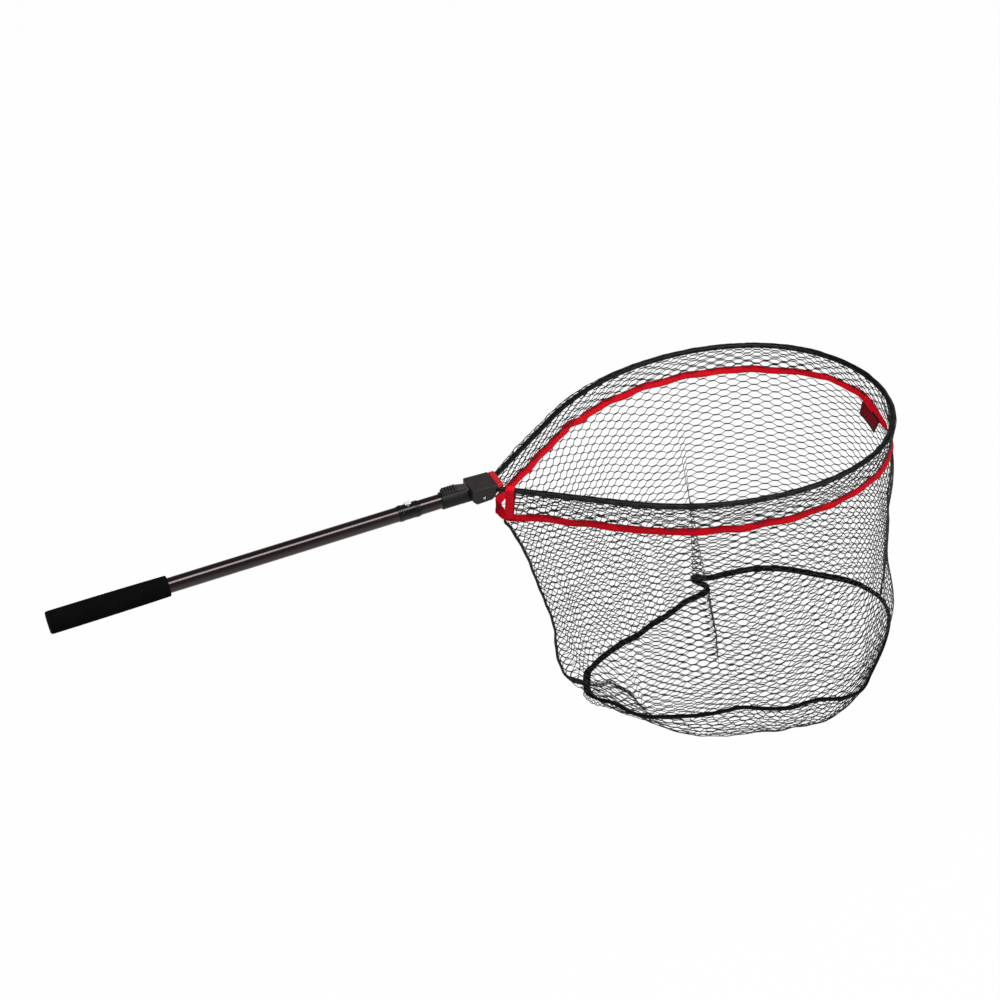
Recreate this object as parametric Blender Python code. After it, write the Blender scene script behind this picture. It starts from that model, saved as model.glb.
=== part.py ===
"""Folding, telescopic landing net: foam grip, two-part handle, hinged yoke, teardrop hoop and a deep net bag.

Metres, +Z up. The origin is the middle of the foam grip on the handle's axis, +X runs along the handle
towards the hoop and +Y to the side that the hoop's far arm is on.
"""

import math

import bmesh
import bpy
from mathutils import Vector

# Handle: foam grip, outer tube, lock collar and the inner tube that slides in it
CLEAR = 0.0003
GRIP_LENGTH = 0.168
GRIP_BUTT_OD = 0.0324
GRIP_FRONT_OD = 0.0295
GRIP_EDGE = 0.003
BUTT_CAP_THICKNESS = 0.003
BUTT_PLUG_LENGTH = 0.012
TUBE_OD = 0.022
TUBE_WALL = 0.0012
TUBE_SHOWING = 0.3415
INNER_OD = 0.0176
INNER_WALL = 0.0012
INNER_KEPT = 0.060
INNER_REAR_ROOM = 0.0572
BUSH_LENGTH = 0.012
COLLAR_LENGTH = 0.033
COLLAR_OD = 0.0234
COLLAR_SPIGOT = 0.012
BEAD_OD = 0.0246
BEAD_WIDTH = 0.004
BEAD_INSET = 0.0047

# Push button on the collar and the spring under it
BUTTON_LENGTH = 0.009
BUTTON_WIDTH = 0.007
BUTTON_THICKNESS = 0.003
BUTTON_TRAVEL = 0.0025
BUTTON_PROUD = 0.0042
BUTTON_STEM_OD = 0.0044
BUTTON_SPRING_WIRE = 0.0005
BUTTON_SPRING_TURNS = 2

# Hinge socket on the neck tube, with the thumb slider and latch bolt on top of it
NECK_SHOWING = 0.0331
SOCKET_OD = 0.026
SOCKET_DEPTH = 0.0165
SOCKET_EDGE = 0.0015
TONGUE_WIDTH = 0.0124
TONGUE_END_RADIUS = 0.008
TONGUE_TOP = 0.0056
GRUB_SCREW_OD = 0.004
SLIDER_WIDTH = 0.014
SLIDER_LENGTH = 0.0375
SLIDER_REAR_HEIGHT = 0.0058
SLIDER_FRONT_HEIGHT = 0.0016
SLIDER_RIBS = 7
SLIDER_RIB_PITCH = 0.0026
SLIDER_RIB_HEIGHT = 0.0009
SLIDER_TRAVEL = 0.008
BOLT_WIDTH = 0.008
BOLT_BODY_HEIGHT = 0.0051
BOLT_BODY_LENGTH = 0.0097
BOLT_NOSE_HEIGHT = 0.0028
BOLT_NOSE_LENGTH = 0.0125
BOLT_SPRING_PACKED = 0.0034
BOLT_SPRING_WALL = 0.0018
BOLT_SPRING_OD = 0.0048
BOLT_SPRING_WIRE = 0.0005
BOLT_SPRING_TURNS = 5

# Yoke, hinged on a cross pin below the handle's axis
HINGE_AHEAD = 0.0207
HINGE_DROP = 0.0042
PIN_OD = 0.005
PIN_PROUD = 0.0004
YOKE_WIDTH = 0.040
YOKE_HEIGHT = 0.023
YOKE_BEHIND_PIN = 0.0177
YOKE_AHEAD_OF_PIN = 0.0182
YOKE_TOP_PLATE = 0.0035
YOKE_TOP_OVERHANG = 0.003
YOKE_CHAMFER = 0.005
YOKE_EDGE = 0.0018
CHANNEL_CLEAR = 0.0005
FRONT_PLATE_LENGTH = 0.0105
FRONT_PLATE_EDGE = 0.0012
HOOP_SCREW_OD = 0.003
HOOP_SCREW_HEAD_OD = 0.0055
HOOP_SCREW_HEAD = 0.0018

# Hoop: one bent rod, straight arms, then a shoulder, a side and a tip arc
HEAD_DROOP = math.radians(2.35)
HOOP_ROD = 0.008
HOOP_OVER_PIN = 0.0053
HOOP_IN_YOKE = 0.009
ARM_BEND_RADIUS = 0.0173
ARM_ANGLE = math.radians(38.1)
ARM_LENGTH = 0.185
SHOULDER_RADIUS = 0.384
SIDE_RADIUS = 0.310
SIDE_TURN = math.radians(24.4)

# Net bag: thin mesh panels between tapes, hanging from the hoop and leaning a little to -Y
NET_THICKNESS = 0.002
NET_OPENINGS_ACROSS = 9
NET_OPENINGS_DOWN = 5
NET_BAR = 0.007
RIM_NOSE_RADIUS = 0.024
BAND_DROP = 0.044
BAND_HEIGHT = 0.008
BAND_THICKNESS = 0.0015
STRAP_WIDTH = 0.013
STRAP_THICKNESS = 0.0012
STRAP_ALONG_ARM = 0.0135
BASE_DEPTH = 0.411
BASE_AHEAD_OF_NOSE = 0.127
BASE_PAST_TIP = 0.025
BASE_REAR_RADIUS = 0.050
BASE_REAR_ANGLE = math.radians(24)
BASE_SIDE_RADIUS = 0.054
BASE_TIP_ANGLE = math.radians(48)
BASE_TIP_RADIUS = 0.040
BASE_LEAN = -0.035
BASE_SAG = 0.080
BASE_SAG_POWER = 8
BASE_OPENINGS_ROUND = 16
BASE_OPENINGS_INWARD = 3
BASE_MIDDLE_SHARE = 0.2
WALL_DRAW_IN = 0.08
WALL_BULGE_REAR = 0.028
WALL_BULGE_TIP = 0.008
WALL_BULGE_POWER = 6
BINDING_HEIGHT = 0.008
BINDING_THICKNESS = 0.003
SEAM_WIDTH = 0.005
SEAM_THICKNESS = 0.0025
TAG_WIDTH = 0.052
TAG_HEIGHT = 0.024
TAG_THICKNESS = 0.0012
TAG_PAST_SEAM = 0.010

ROUND_SIDES = 32
SMALL_SIDES = 16
ARC_STEP = math.radians(5)
RUN_PIECES = 2
OPENING_PIECES = 2

# Stations along the handle, from the grip towards the hoop
grip_rear = -GRIP_LENGTH / 2
grip_front = GRIP_LENGTH / 2
collar_rear = grip_front + TUBE_SHOWING
collar_front = collar_rear + COLLAR_LENGTH
tube_front = collar_rear - CLEAR
neck_rear = collar_front + CLEAR
socket_rear = neck_rear + NECK_SHOWING
neck_front = socket_rear + SOCKET_DEPTH
slot_rear = neck_front + CLEAR + BOLT_SPRING_WALL
bolt_rear = slot_rear + BOLT_SPRING_PACKED + SLIDER_TRAVEL
socket_front = bolt_rear + BOLT_BODY_LENGTH + CLEAR
inner_rear = grip_rear + BUTT_PLUG_LENGTH + INNER_REAR_ROOM
tele_travel = tube_front - INNER_KEPT - inner_rear
button_x = collar_rear + COLLAR_LENGTH / 2
hinge_x = socket_front + HINGE_AHEAD

for old in list(bpy.data.objects):
    bpy.data.objects.remove(old, do_unlink=True)


def material(name, colour, roughness, metallic=0.0):
    made = bpy.data.materials.new(name)
    made.use_nodes = True
    shader = made.node_tree.nodes["Principled BSDF"]
    shader.inputs["Base Color"].default_value = (*colour, 1.0)
    shader.inputs["Roughness"].default_value = roughness
    shader.inputs["Metallic"].default_value = metallic
    return made


FOAM = material("black_foam", (0.012, 0.012, 0.013), 0.9)
RUBBER = material("black_rubber", (0.015, 0.015, 0.016), 0.8)
TUBE_METAL = material("gunmetal_tube", (0.045, 0.036, 0.038), 0.25, 0.8)
GLOSS_BLACK = material("gloss_black_plastic", (0.012, 0.012, 0.014), 0.2)
MATTE_BLACK = material("charcoal_plastic", (0.022, 0.021, 0.022), 0.5)
PALE_GREY = material("pale_grey_plastic", (0.55, 0.56, 0.58), 0.4)
RED_PLASTIC = material("red_plastic", (0.62, 0.010, 0.022), 0.4)
RED_TAPE = material("red_tape", (0.62, 0.008, 0.018), 0.75)
BLACK_TAPE = material("black_tape", (0.014, 0.014, 0.015), 0.85)
NET_MESH = material("coated_net", (0.020, 0.020, 0.022), 0.6)
HOOP_COAT = material("black_hoop_coat", (0.015, 0.015, 0.017), 0.35, 0.3)
STEEL = material("steel", (0.62, 0.62, 0.63), 0.3, 1.0)


def empty(name, parent=None, location=(0, 0, 0)):
    made = bpy.data.objects.new(name, None)
    bpy.context.scene.collection.objects.link(made)
    made.parent = parent
    made.location = location
    return made


# The head turns about the hinge pin; the hoop's plane lies a little above the pin.
head = empty("head", location=(hinge_x, 0, -HINGE_DROP))
head.rotation_euler = (0, HEAD_DROOP, 0)
hoop_start = YOKE_AHEAD_OF_PIN
rim = empty("rim", head, (hoop_start, 0, HOOP_OVER_PIN))


def place(name, mesh, look, at=(0, 0, 0), parent=None, turn=(0, 0, 0), guide=False):
    mesh.shade_smooth()
    mesh.set_sharp_from_angle(angle=math.radians(35))
    made = bpy.data.objects.new(name, mesh)
    bpy.context.scene.collection.objects.link(made)
    made.parent = parent
    made.location = at
    made.rotation_euler = turn
    if guide:
        made.hide_render = True
        made.display_type = "WIRE"
    else:
        mesh.materials.append(look)
    return made


def finished(shape, name):
    """The bmesh as a mesh with merged doubles and outward faces."""
    bmesh.ops.remove_doubles(shape, verts=shape.verts, dist=1e-7)
    bmesh.ops.recalc_face_normals(shape, faces=shape.faces)
    mesh = bpy.data.meshes.new(name)
    shape.to_mesh(mesh)
    shape.free()
    return mesh


def turned_mesh(name, profile, sides=ROUND_SIDES):
    """A closed profile of (x, radius) points turned about the X axis."""
    shape = bmesh.new()
    points = [shape.verts.new((x, 0, radius)) for x, radius in profile]
    edges = [shape.edges.new((a, b)) for a, b in zip(points, points[1:] + points[:1])]
    bmesh.ops.spin(shape, geom=points + edges, cent=(0, 0, 0), axis=(1, 0, 0), angle=math.tau,
                   steps=sides, use_merge=True)
    bmesh.ops.dissolve_degenerate(shape, dist=1e-7, edges=shape.edges)
    return finished(shape, name)


def turned(name, profile, look, sides=ROUND_SIDES, **where):
    return place(name, turned_mesh(name, profile, sides), look, **where)


def tube_profile(length, outer, inner):
    return [(0, outer), (length, outer), (length, inner), (0, inner)]


def rod_profile(length, radius):
    return [(0, 0), (0, radius), (length, radius), (length, 0)]


def prism(name, outline, width, look, edge=0.0, **where):
    """An (x, z) outline extruded along Y, centred on the XZ plane, with its long edges rounded."""
    shape = bmesh.new()
    side = shape.faces.new([shape.verts.new((x, -width / 2, z)) for x, z in outline])
    raised = bmesh.ops.extrude_face_region(shape, geom=[side])
    moved = [part for part in raised["geom"] if isinstance(part, bmesh.types.BMVert)]
    bmesh.ops.translate(shape, verts=moved, vec=(0, width, 0))
    made = place(name, finished(shape, name), look, **where)
    if edge:
        rounding = made.modifiers.new("rounded_edges", "BEVEL")
        rounding.width = edge
        rounding.segments = 2
        rounding.limit_method = "ANGLE"
    return made


def block(low, high):
    (x0, z0), (x1, z1) = low, high
    return [(x0, z0), (x1, z0), (x1, z1), (x0, z1)]


def arc(centre, radius, start, end, steps):
    """Points of an arc in the XZ plane, angles in degrees from +X towards +Z."""
    angles = [math.radians(start + (end - start) * i / steps) for i in range(steps + 1)]
    return [(centre[0] + radius * math.cos(a), centre[1] + radius * math.sin(a)) for a in angles]


def cut(target, cutter):
    step = target.modifiers.new("cut_" + cutter.name, "BOOLEAN")
    step.operation = "DIFFERENCE"
    step.object = cutter


def fuse(target, piece):
    step = target.modifiers.new("join_" + piece.name, "BOOLEAN")
    step.operation = "UNION"
    step.object = piece


def coil(name, turns, pitch, radius, wire, look, **where):
    """A helix of round wire about the object's own X axis, starting at its origin."""
    data = bpy.data.curves.new(name, "CURVE")
    data.dimensions = "3D"
    data.bevel_depth = wire / 2
    data.bevel_resolution = 1
    data.use_fill_caps = True
    steps = turns * 12
    line = data.splines.new("POLY")
    line.points.add(steps)
    for i, point in enumerate(line.points):
        a = math.tau * i / 12
        point.co = (pitch * i / 12, radius * math.cos(a), radius * math.sin(a), 1)
    data.materials.append(look)
    made = bpy.data.objects.new(name, data)
    bpy.context.scene.collection.objects.link(made)
    made.location = where["at"]
    made.rotation_euler = where.get("turn", (0, 0, 0))
    print(f"{name}: gap between turns {(pitch - wire) * 1000:.2f} mm")
    return made


UPRIGHT = (0, -math.pi / 2, 0)
ACROSS = (0, 0, math.pi / 2)

# Foam grip: a sleeve that tapers towards the front, with rounded ends
tube_radius = TUBE_OD / 2
tube_bore = tube_radius - TUBE_WALL
grip_bore = tube_radius + CLEAR


def grip_radius(x):
    return (GRIP_BUTT_OD + (GRIP_FRONT_OD - GRIP_BUTT_OD) * x / GRIP_LENGTH) / 2


grip_profile = [
    (0, grip_bore),
    (0, grip_radius(0) - GRIP_EDGE / 3),
    (GRIP_EDGE / 3, grip_radius(0)),
    (GRIP_LENGTH - GRIP_EDGE, grip_radius(GRIP_LENGTH - GRIP_EDGE)),
    (GRIP_LENGTH - GRIP_EDGE / 3, grip_radius(GRIP_LENGTH) - GRIP_EDGE / 3),
    (GRIP_LENGTH, grip_radius(GRIP_LENGTH) - GRIP_EDGE),
    (GRIP_LENGTH, grip_bore),
]
turned("grip_sleeve", grip_profile, FOAM, at=(grip_rear, 0, 0))

# Butt cap: a flat-ended rubber disc with a plug that fills the tube's end
cap_rear = grip_rear - CLEAR - BUTT_CAP_THICKNESS
plug_end = BUTT_CAP_THICKNESS + CLEAR + BUTT_PLUG_LENGTH
cap_profile = [
    (0, 0),
    (0, grip_radius(0) - GRIP_EDGE / 2),
    (GRIP_EDGE / 2, grip_radius(0) - CLEAR),
    (BUTT_CAP_THICKNESS, grip_radius(0) - CLEAR),
    (BUTT_CAP_THICKNESS, tube_bore - CLEAR),
    (plug_end, tube_bore - CLEAR),
    (plug_end, 0),
]
turned("butt_cap", cap_profile, RUBBER, at=(cap_rear, 0, 0))

# Outer tube, from the grip's rear end to the lock collar
turned("outer_tube", tube_profile(tube_front - grip_rear, tube_radius, tube_bore), TUBE_METAL,
       at=(grip_rear, 0, 0))

# Lock collar: a bush with a spigot in the outer tube, two beads outside and a pocket for the button
inner_radius = INNER_OD / 2
collar_bore = inner_radius + CLEAR
collar_radius = COLLAR_OD / 2


def bead(centre):
    half = BEAD_WIDTH / 2
    return [
        (centre - half, collar_radius),
        (centre - half / 2, BEAD_OD / 2),
        (centre + half / 2, BEAD_OD / 2),
        (centre + half, collar_radius),
    ]


collar_profile = [
    (-COLLAR_SPIGOT, collar_bore),
    (-COLLAR_SPIGOT, tube_bore - CLEAR),
    (0, tube_bore - CLEAR),
    (0, collar_radius),
    *bead(BEAD_INSET),
    *bead(COLLAR_LENGTH - BEAD_INSET),
    (COLLAR_LENGTH, collar_radius),
    (COLLAR_LENGTH, collar_bore),
]
collar = turned("lock_collar", collar_profile, GLOSS_BLACK, at=(collar_rear, 0, 0))
button_top = collar_radius + BUTTON_PROUD
button_bottom = button_top - BUTTON_THICKNESS
pocket_floor = button_bottom - BUTTON_TRAVEL - CLEAR
pocket = prism("button_pocket", block((-BUTTON_LENGTH / 2 - CLEAR, pocket_floor),
                                      (BUTTON_LENGTH / 2 + CLEAR, button_top)),
               BUTTON_WIDTH + 2 * CLEAR, None, at=(button_x, 0, 0), guide=True)
cut(collar, pocket)
stem_hole = turned("button_stem_hole", rod_profile(button_top, BUTTON_STEM_OD / 2 + CLEAR), None,
                   sides=SMALL_SIDES, at=(button_x, 0, 0), turn=UPRIGHT, guide=True)
cut(collar, stem_hole)

# Push button: a rounded cap on a stem that reaches down to the inner tube's locating hole
button_join = BUTTON_THICKNESS / 2
button = prism("tele_button", block((-BUTTON_LENGTH / 2, 0), (BUTTON_LENGTH / 2, BUTTON_THICKNESS)),
               BUTTON_WIDTH, PALE_GREY, edge=0.0008, at=(button_x, 0, button_bottom))
stem_end = inner_radius + CLEAR
stem = turned("button_stem", rod_profile(button_bottom + button_join - stem_end, BUTTON_STEM_OD / 2), None,
              sides=SMALL_SIDES, at=(button_x, 0, stem_end), turn=UPRIGHT, guide=True)
fuse(button, stem)
spring_room = button_bottom - pocket_floor - 2 * CLEAR - BUTTON_SPRING_WIRE
coil("button_spring", BUTTON_SPRING_TURNS, spring_room / BUTTON_SPRING_TURNS,
     (BUTTON_STEM_OD + BUTTON_SPRING_WIRE) / 2 + CLEAR, BUTTON_SPRING_WIRE, STEEL,
     at=(button_x, 0, pocket_floor + CLEAR + BUTTON_SPRING_WIRE / 2), turn=UPRIGHT)

# Inner tube with a locating hole for each end of its travel, and the bush that guides its rear end
inner_bore = inner_radius - INNER_WALL
inner_tube = turned("inner_tube", tube_profile(neck_front - inner_rear, inner_radius, inner_bore),
                    TUBE_METAL, at=(inner_rear, 0, 0))
for name, hole_x in (("closed_hole", button_x), ("extended_hole", button_x - tele_travel)):
    cut(inner_tube, turned(name, rod_profile(inner_radius + CLEAR, BUTTON_STEM_OD / 2 + CLEAR), None,
                           sides=SMALL_SIDES, at=(hole_x, 0, 0), turn=UPRIGHT, guide=True))
bush_bore = inner_radius - INNER_WALL - CLEAR
bush_profile = [
    (-BUSH_LENGTH / 3, tube_bore - CLEAR),
    (-CLEAR, tube_bore - CLEAR),
    (-CLEAR, bush_bore),
    (BUSH_LENGTH, bush_bore),
    (BUSH_LENGTH, bush_bore - INNER_WALL),
    (-BUSH_LENGTH / 3, bush_bore - INNER_WALL),
]
turned("rear_bush", bush_profile, RUBBER, at=(inner_rear, 0, 0))

# Neck tube: a short sleeve on the inner tube, as thick as the outer tube, that carries the socket
turned("neck_tube", tube_profile(neck_front - neck_rear, tube_radius, inner_radius + CLEAR), TUBE_METAL,
       at=(neck_rear, 0, 0))

# Hinge socket: a turned body with a flat and a slot on top, and a tongue that carries the hinge pin
socket_radius = SOCKET_OD / 2
socket_bore = tube_radius + CLEAR
socket_length = socket_front - socket_rear
socket_profile = [
    (0, socket_bore),
    (0, socket_radius - SOCKET_EDGE),
    (SOCKET_EDGE, socket_radius),
    (socket_length - SOCKET_EDGE, socket_radius),
    (socket_length, socket_radius - SOCKET_EDGE),
    (socket_length, 0),
    (SOCKET_DEPTH + CLEAR, 0),
    (SOCKET_DEPTH + CLEAR, socket_bore),
]
socket = turned("hinge_socket", socket_profile, MATTE_BLACK, at=(socket_rear, 0, 0))
tongue_root = socket_front - BOLT_BODY_LENGTH
tongue_bottom = -HINGE_DROP - TONGUE_END_RADIUS
tongue_outline = [
    (tongue_root, tongue_bottom),
    *arc((hinge_x, -HINGE_DROP), TONGUE_END_RADIUS, -90, 60, 8),
    (socket_front + HINGE_AHEAD / 2, TONGUE_TOP),
    (tongue_root, TONGUE_TOP),
]
fuse(socket, prism("tongue", tongue_outline, TONGUE_WIDTH, None, guide=True))
slide_flat = tube_radius + CLEAR
slider_floor = slide_flat + CLEAR
slot_floor = slider_floor - 2 * CLEAR - BOLT_BODY_HEIGHT
cut(socket, prism("slider_flat", block((socket_rear - SOCKET_EDGE, slide_flat),
                                       (socket_front + SOCKET_EDGE, SOCKET_OD)),
                  SOCKET_OD, None, guide=True))
cut(socket, prism("bolt_slot", block((slot_rear, slot_floor), (hinge_x, SOCKET_OD)),
                  BOLT_WIDTH + 2 * CLEAR, None, guide=True))
cut(socket, turned("tongue_bore", rod_profile(2 * TONGUE_WIDTH, PIN_OD / 2 + CLEAR), None, sides=SMALL_SIDES,
                   at=(hinge_x, -TONGUE_WIDTH, -HINGE_DROP), turn=ACROSS, guide=True))
grub_x = socket_rear + SOCKET_DEPTH / 2
cut(socket, turned("grub_hole", rod_profile(SOCKET_OD, GRUB_SCREW_OD / 2 + CLEAR), None, sides=SMALL_SIDES,
                   at=(grub_x, 0, -SOCKET_OD - tube_radius / 2), turn=UPRIGHT, guide=True))
grub_length = socket_radius - tube_radius - 2 * CLEAR
turned("socket_grub_screw", rod_profile(grub_length, GRUB_SCREW_OD / 2), STEEL, sides=SMALL_SIDES,
       at=(grub_x, 0, -tube_radius - CLEAR - grub_length), turn=UPRIGHT)

# Thumb slider: a wedge on the socket's flat, cross ribs on its rear half
slider_rear = socket_front - SLIDER_LENGTH - CLEAR


def slider_height(x):
    """Flat over the ribbed rear half, then a slope down to the front."""
    slope_start = SLIDER_RIBS * SLIDER_RIB_PITCH + SLIDER_RIB_PITCH
    share = max(0.0, (x - slope_start) / (SLIDER_LENGTH - slope_start))
    return SLIDER_REAR_HEIGHT + (SLIDER_FRONT_HEIGHT - SLIDER_REAR_HEIGHT) * share


slider_top = [(0, SLIDER_REAR_HEIGHT / 2)]
for rib in range(SLIDER_RIBS):
    rib_x = (rib + 0.5) * SLIDER_RIB_PITCH
    for share, height in ((0.0, -SLIDER_RIB_HEIGHT), (0.2, 0.0), (0.6, 0.0), (0.8, -SLIDER_RIB_HEIGHT)):
        x = rib_x + share * SLIDER_RIB_PITCH
        slider_top.append((x, slider_height(x) + height))
slope_x = (SLIDER_RIBS + 1) * SLIDER_RIB_PITCH
slider_top += [(slope_x, slider_height(slope_x)), (SLIDER_LENGTH, SLIDER_FRONT_HEIGHT)]
slider_outline = [(SLIDER_LENGTH, 0), (0, 0), *slider_top]
prism("thumb_slider", slider_outline, SLIDER_WIDTH, MATTE_BLACK, at=(slider_rear, 0, slider_floor))

# Latch bolt in the socket's slot, with its nose under the yoke's top plate, and the spring behind it
nose_front = BOLT_BODY_LENGTH + BOLT_NOSE_LENGTH
bolt_outline = [
    (0, 0),
    (nose_front, 0),
    (nose_front, BOLT_NOSE_HEIGHT),
    (BOLT_BODY_LENGTH, BOLT_NOSE_HEIGHT),
    (BOLT_BODY_LENGTH, BOLT_BODY_HEIGHT),
    (0, BOLT_BODY_HEIGHT),
]
prism("latch_bolt", bolt_outline, BOLT_WIDTH, STEEL, at=(bolt_rear, 0, slot_floor + CLEAR))
bolt_spring_pitch = (bolt_rear - slot_rear - 2 * CLEAR - BOLT_SPRING_WIRE) / BOLT_SPRING_TURNS
coil("latch_spring", BOLT_SPRING_TURNS, bolt_spring_pitch, (BOLT_SPRING_OD - BOLT_SPRING_WIRE) / 2,
     BOLT_SPRING_WIRE, STEEL,
     at=(slot_rear + CLEAR + BOLT_SPRING_WIRE / 2, 0, slot_floor + CLEAR + BOLT_SPRING_OD / 2))

# Yoke: a block with an open channel for the tongue below its top plate, hinged on the pin
yoke_top = HOOP_OVER_PIN + YOKE_HEIGHT / 2
yoke_bottom = HOOP_OVER_PIN - YOKE_HEIGHT / 2
yoke_front = YOKE_AHEAD_OF_PIN
overhang_front = yoke_front + YOKE_TOP_OVERHANG
plate_underside = yoke_top - YOKE_TOP_PLATE
overhang_underside = HOOP_OVER_PIN + HOOP_ROD / 2 + 3 * CLEAR
yoke_outline = [
    (-YOKE_BEHIND_PIN, yoke_top),
    (-YOKE_BEHIND_PIN, yoke_bottom + YOKE_CHAMFER),
    (-YOKE_BEHIND_PIN + YOKE_CHAMFER, yoke_bottom),
    (yoke_front - YOKE_CHAMFER, yoke_bottom),
    (yoke_front, yoke_bottom + YOKE_CHAMFER),
    (yoke_front, overhang_underside),
    (overhang_front, overhang_underside),
    (overhang_front, yoke_top),
]
yoke = prism("yoke", yoke_outline, YOKE_WIDTH, MATTE_BLACK, edge=YOKE_EDGE, parent=head)
channel_width = TONGUE_WIDTH + 2 * CHANNEL_CLEAR
cut(yoke, prism("yoke_channel", block((-2 * YOKE_BEHIND_PIN, -YOKE_HEIGHT),
                                      (2 * overhang_front, plate_underside)),
                channel_width, None, parent=head, guide=True))
cut(yoke, turned("yoke_pin_bore", rod_profile(2 * YOKE_WIDTH, PIN_OD / 2 + CLEAR), None, sides=SMALL_SIDES,
                 at=(0, -YOKE_WIDTH, 0), turn=ACROSS, parent=head, guide=True))
pin_length = YOKE_WIDTH + 2 * PIN_PROUD
turned("hinge_pin", rod_profile(pin_length, PIN_OD / 2), STEEL, sides=SMALL_SIDES,
       at=(0, -pin_length / 2, 0), turn=ACROSS, parent=head)

# The hoop's two ends sit in bores in the yoke's cheeks, each held by a screw from below
rod_radius = HOOP_ROD / 2
root_y = (channel_width + YOKE_WIDTH) / 4
rod_end = yoke_front - HOOP_IN_YOKE
screw_x = rod_end + HOOP_IN_YOKE / 2
screw_top = HOOP_OVER_PIN - rod_radius - CLEAR
for side, direction in (("near", -1), ("far", 1)):
    cheek_y = direction * root_y
    cut(yoke, turned("rod_bore_" + side, rod_profile(2 * HOOP_IN_YOKE, rod_radius + CLEAR), None,
                     sides=SMALL_SIDES, at=(rod_end - CLEAR, cheek_y, HOOP_OVER_PIN),
                     parent=head, guide=True))
    cut(yoke, turned("screw_bore_" + side, [
        (-YOKE_HEIGHT, 0),
        (-YOKE_HEIGHT, HOOP_SCREW_HEAD_OD / 2 + CLEAR),
        (HOOP_SCREW_HEAD + CLEAR, HOOP_SCREW_HEAD_OD / 2 + CLEAR),
        (HOOP_SCREW_HEAD + CLEAR, HOOP_SCREW_OD / 2 + CLEAR),
        (HOOP_OVER_PIN - yoke_bottom, HOOP_SCREW_OD / 2 + CLEAR),
        (HOOP_OVER_PIN - yoke_bottom, 0),
    ], None, sides=SMALL_SIDES, at=(screw_x, cheek_y, yoke_bottom), turn=UPRIGHT, parent=head, guide=True))
    turned("hoop_screw_" + side, [
        (0, 0),
        (0, HOOP_SCREW_HEAD_OD / 2),
        (HOOP_SCREW_HEAD, HOOP_SCREW_HEAD_OD / 2),
        (HOOP_SCREW_HEAD, HOOP_SCREW_OD / 2),
        (screw_top - yoke_bottom - CLEAR, HOOP_SCREW_OD / 2),
        (screw_top - yoke_bottom - CLEAR, 0),
    ], STEEL, sides=SMALL_SIDES, at=(screw_x, cheek_y, yoke_bottom + CLEAR), turn=UPRIGHT, parent=head)

# Red front plate: a bar in front of the yoke's top, above the hoop's ends
plate_outline = block((overhang_front + CLEAR, overhang_underside),
                      (overhang_front + CLEAR + FRONT_PLATE_LENGTH, yoke_top - CLEAR))
prism("yoke_front_plate", plate_outline, YOKE_WIDTH - 2 * FRONT_PLATE_EDGE, RED_PLASTIC,
      edge=FRONT_PLATE_EDGE, parent=head)


# Outlines in the hoop's plane are walked like a path: straight runs and arcs from a start and a heading.
def walk(start, heading, steps):
    """A list of (point, heading, length so far) for ("run", length) and ("arc", radius, turn) steps."""
    x, y = start
    travelled = 0.0
    stations = [((x, y), heading, travelled)]
    for kind, *values in steps:
        if kind == "run":
            pieces, length, turn = RUN_PIECES, values[0], 0.0
        else:
            radius, turn = values
            pieces, length = max(3, round(abs(turn) / ARC_STEP)), radius * abs(turn)
        for _ in range(pieces):
            heading += turn / pieces / 2
            chord = length / pieces
            if turn:
                chord = 2 * radius * math.sin(abs(turn) / pieces / 2)
            x += chord * math.cos(heading)
            y += chord * math.sin(heading)
            heading += turn / pieces / 2
            travelled += length / pieces
            stations.append(((x, y), heading, travelled))
    return stations


def hoop_steps(tip_half_width):
    """The steps from the arm's straight run to the tip, where the last arc meets the middle squarely."""
    tip_radius = tip_half_width / math.cos(SIDE_TURN)
    return [
        ("run", ARM_LENGTH),
        ("arc", SHOULDER_RADIUS, -ARM_ANGLE),
        ("arc", SIDE_RADIUS, -SIDE_TURN),
        ("arc", tip_radius, SIDE_TURN - math.pi / 2),
    ]


arm_start = (ARM_BEND_RADIUS * math.sin(ARM_ANGLE), root_y + ARM_BEND_RADIUS * (1 - math.cos(ARM_ANGLE)))
shoulder_rise = SHOULDER_RADIUS * (1 - math.cos(ARM_ANGLE))
side_fall = SIDE_RADIUS * (1 - math.cos(SIDE_TURN))
tip_half_width = arm_start[1] + ARM_LENGTH * math.sin(ARM_ANGLE) + shoulder_rise - side_fall

# Hoop frame: one rod from the far cheek round the tip to the near cheek
rod_path = walk((-HOOP_IN_YOKE, root_y), 0.0,
                [("run", HOOP_IN_YOKE), ("arc", ARM_BEND_RADIUS, ARM_ANGLE), *hoop_steps(tip_half_width)])
far_points = [point for point, _, _ in rod_path]
hoop_points = far_points + [(x, -y) for x, y in reversed(far_points[:-1])]
hoop_data = bpy.data.curves.new("hoop_frame", "CURVE")
hoop_data.dimensions = "3D"
hoop_data.bevel_depth = rod_radius
hoop_data.bevel_resolution = 3
hoop_data.use_fill_caps = True
hoop_line = hoop_data.splines.new("POLY")
hoop_line.points.add(len(hoop_points) - 1)
for spot, (x, y) in zip(hoop_line.points, hoop_points):
    spot.co = (x, y, 0, 1)
hoop_data.materials.append(HOOP_COAT)
hoop_frame = bpy.data.objects.new("hoop_frame", hoop_data)
bpy.context.scene.collection.objects.link(hoop_frame)
hoop_frame.parent = rim


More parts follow.
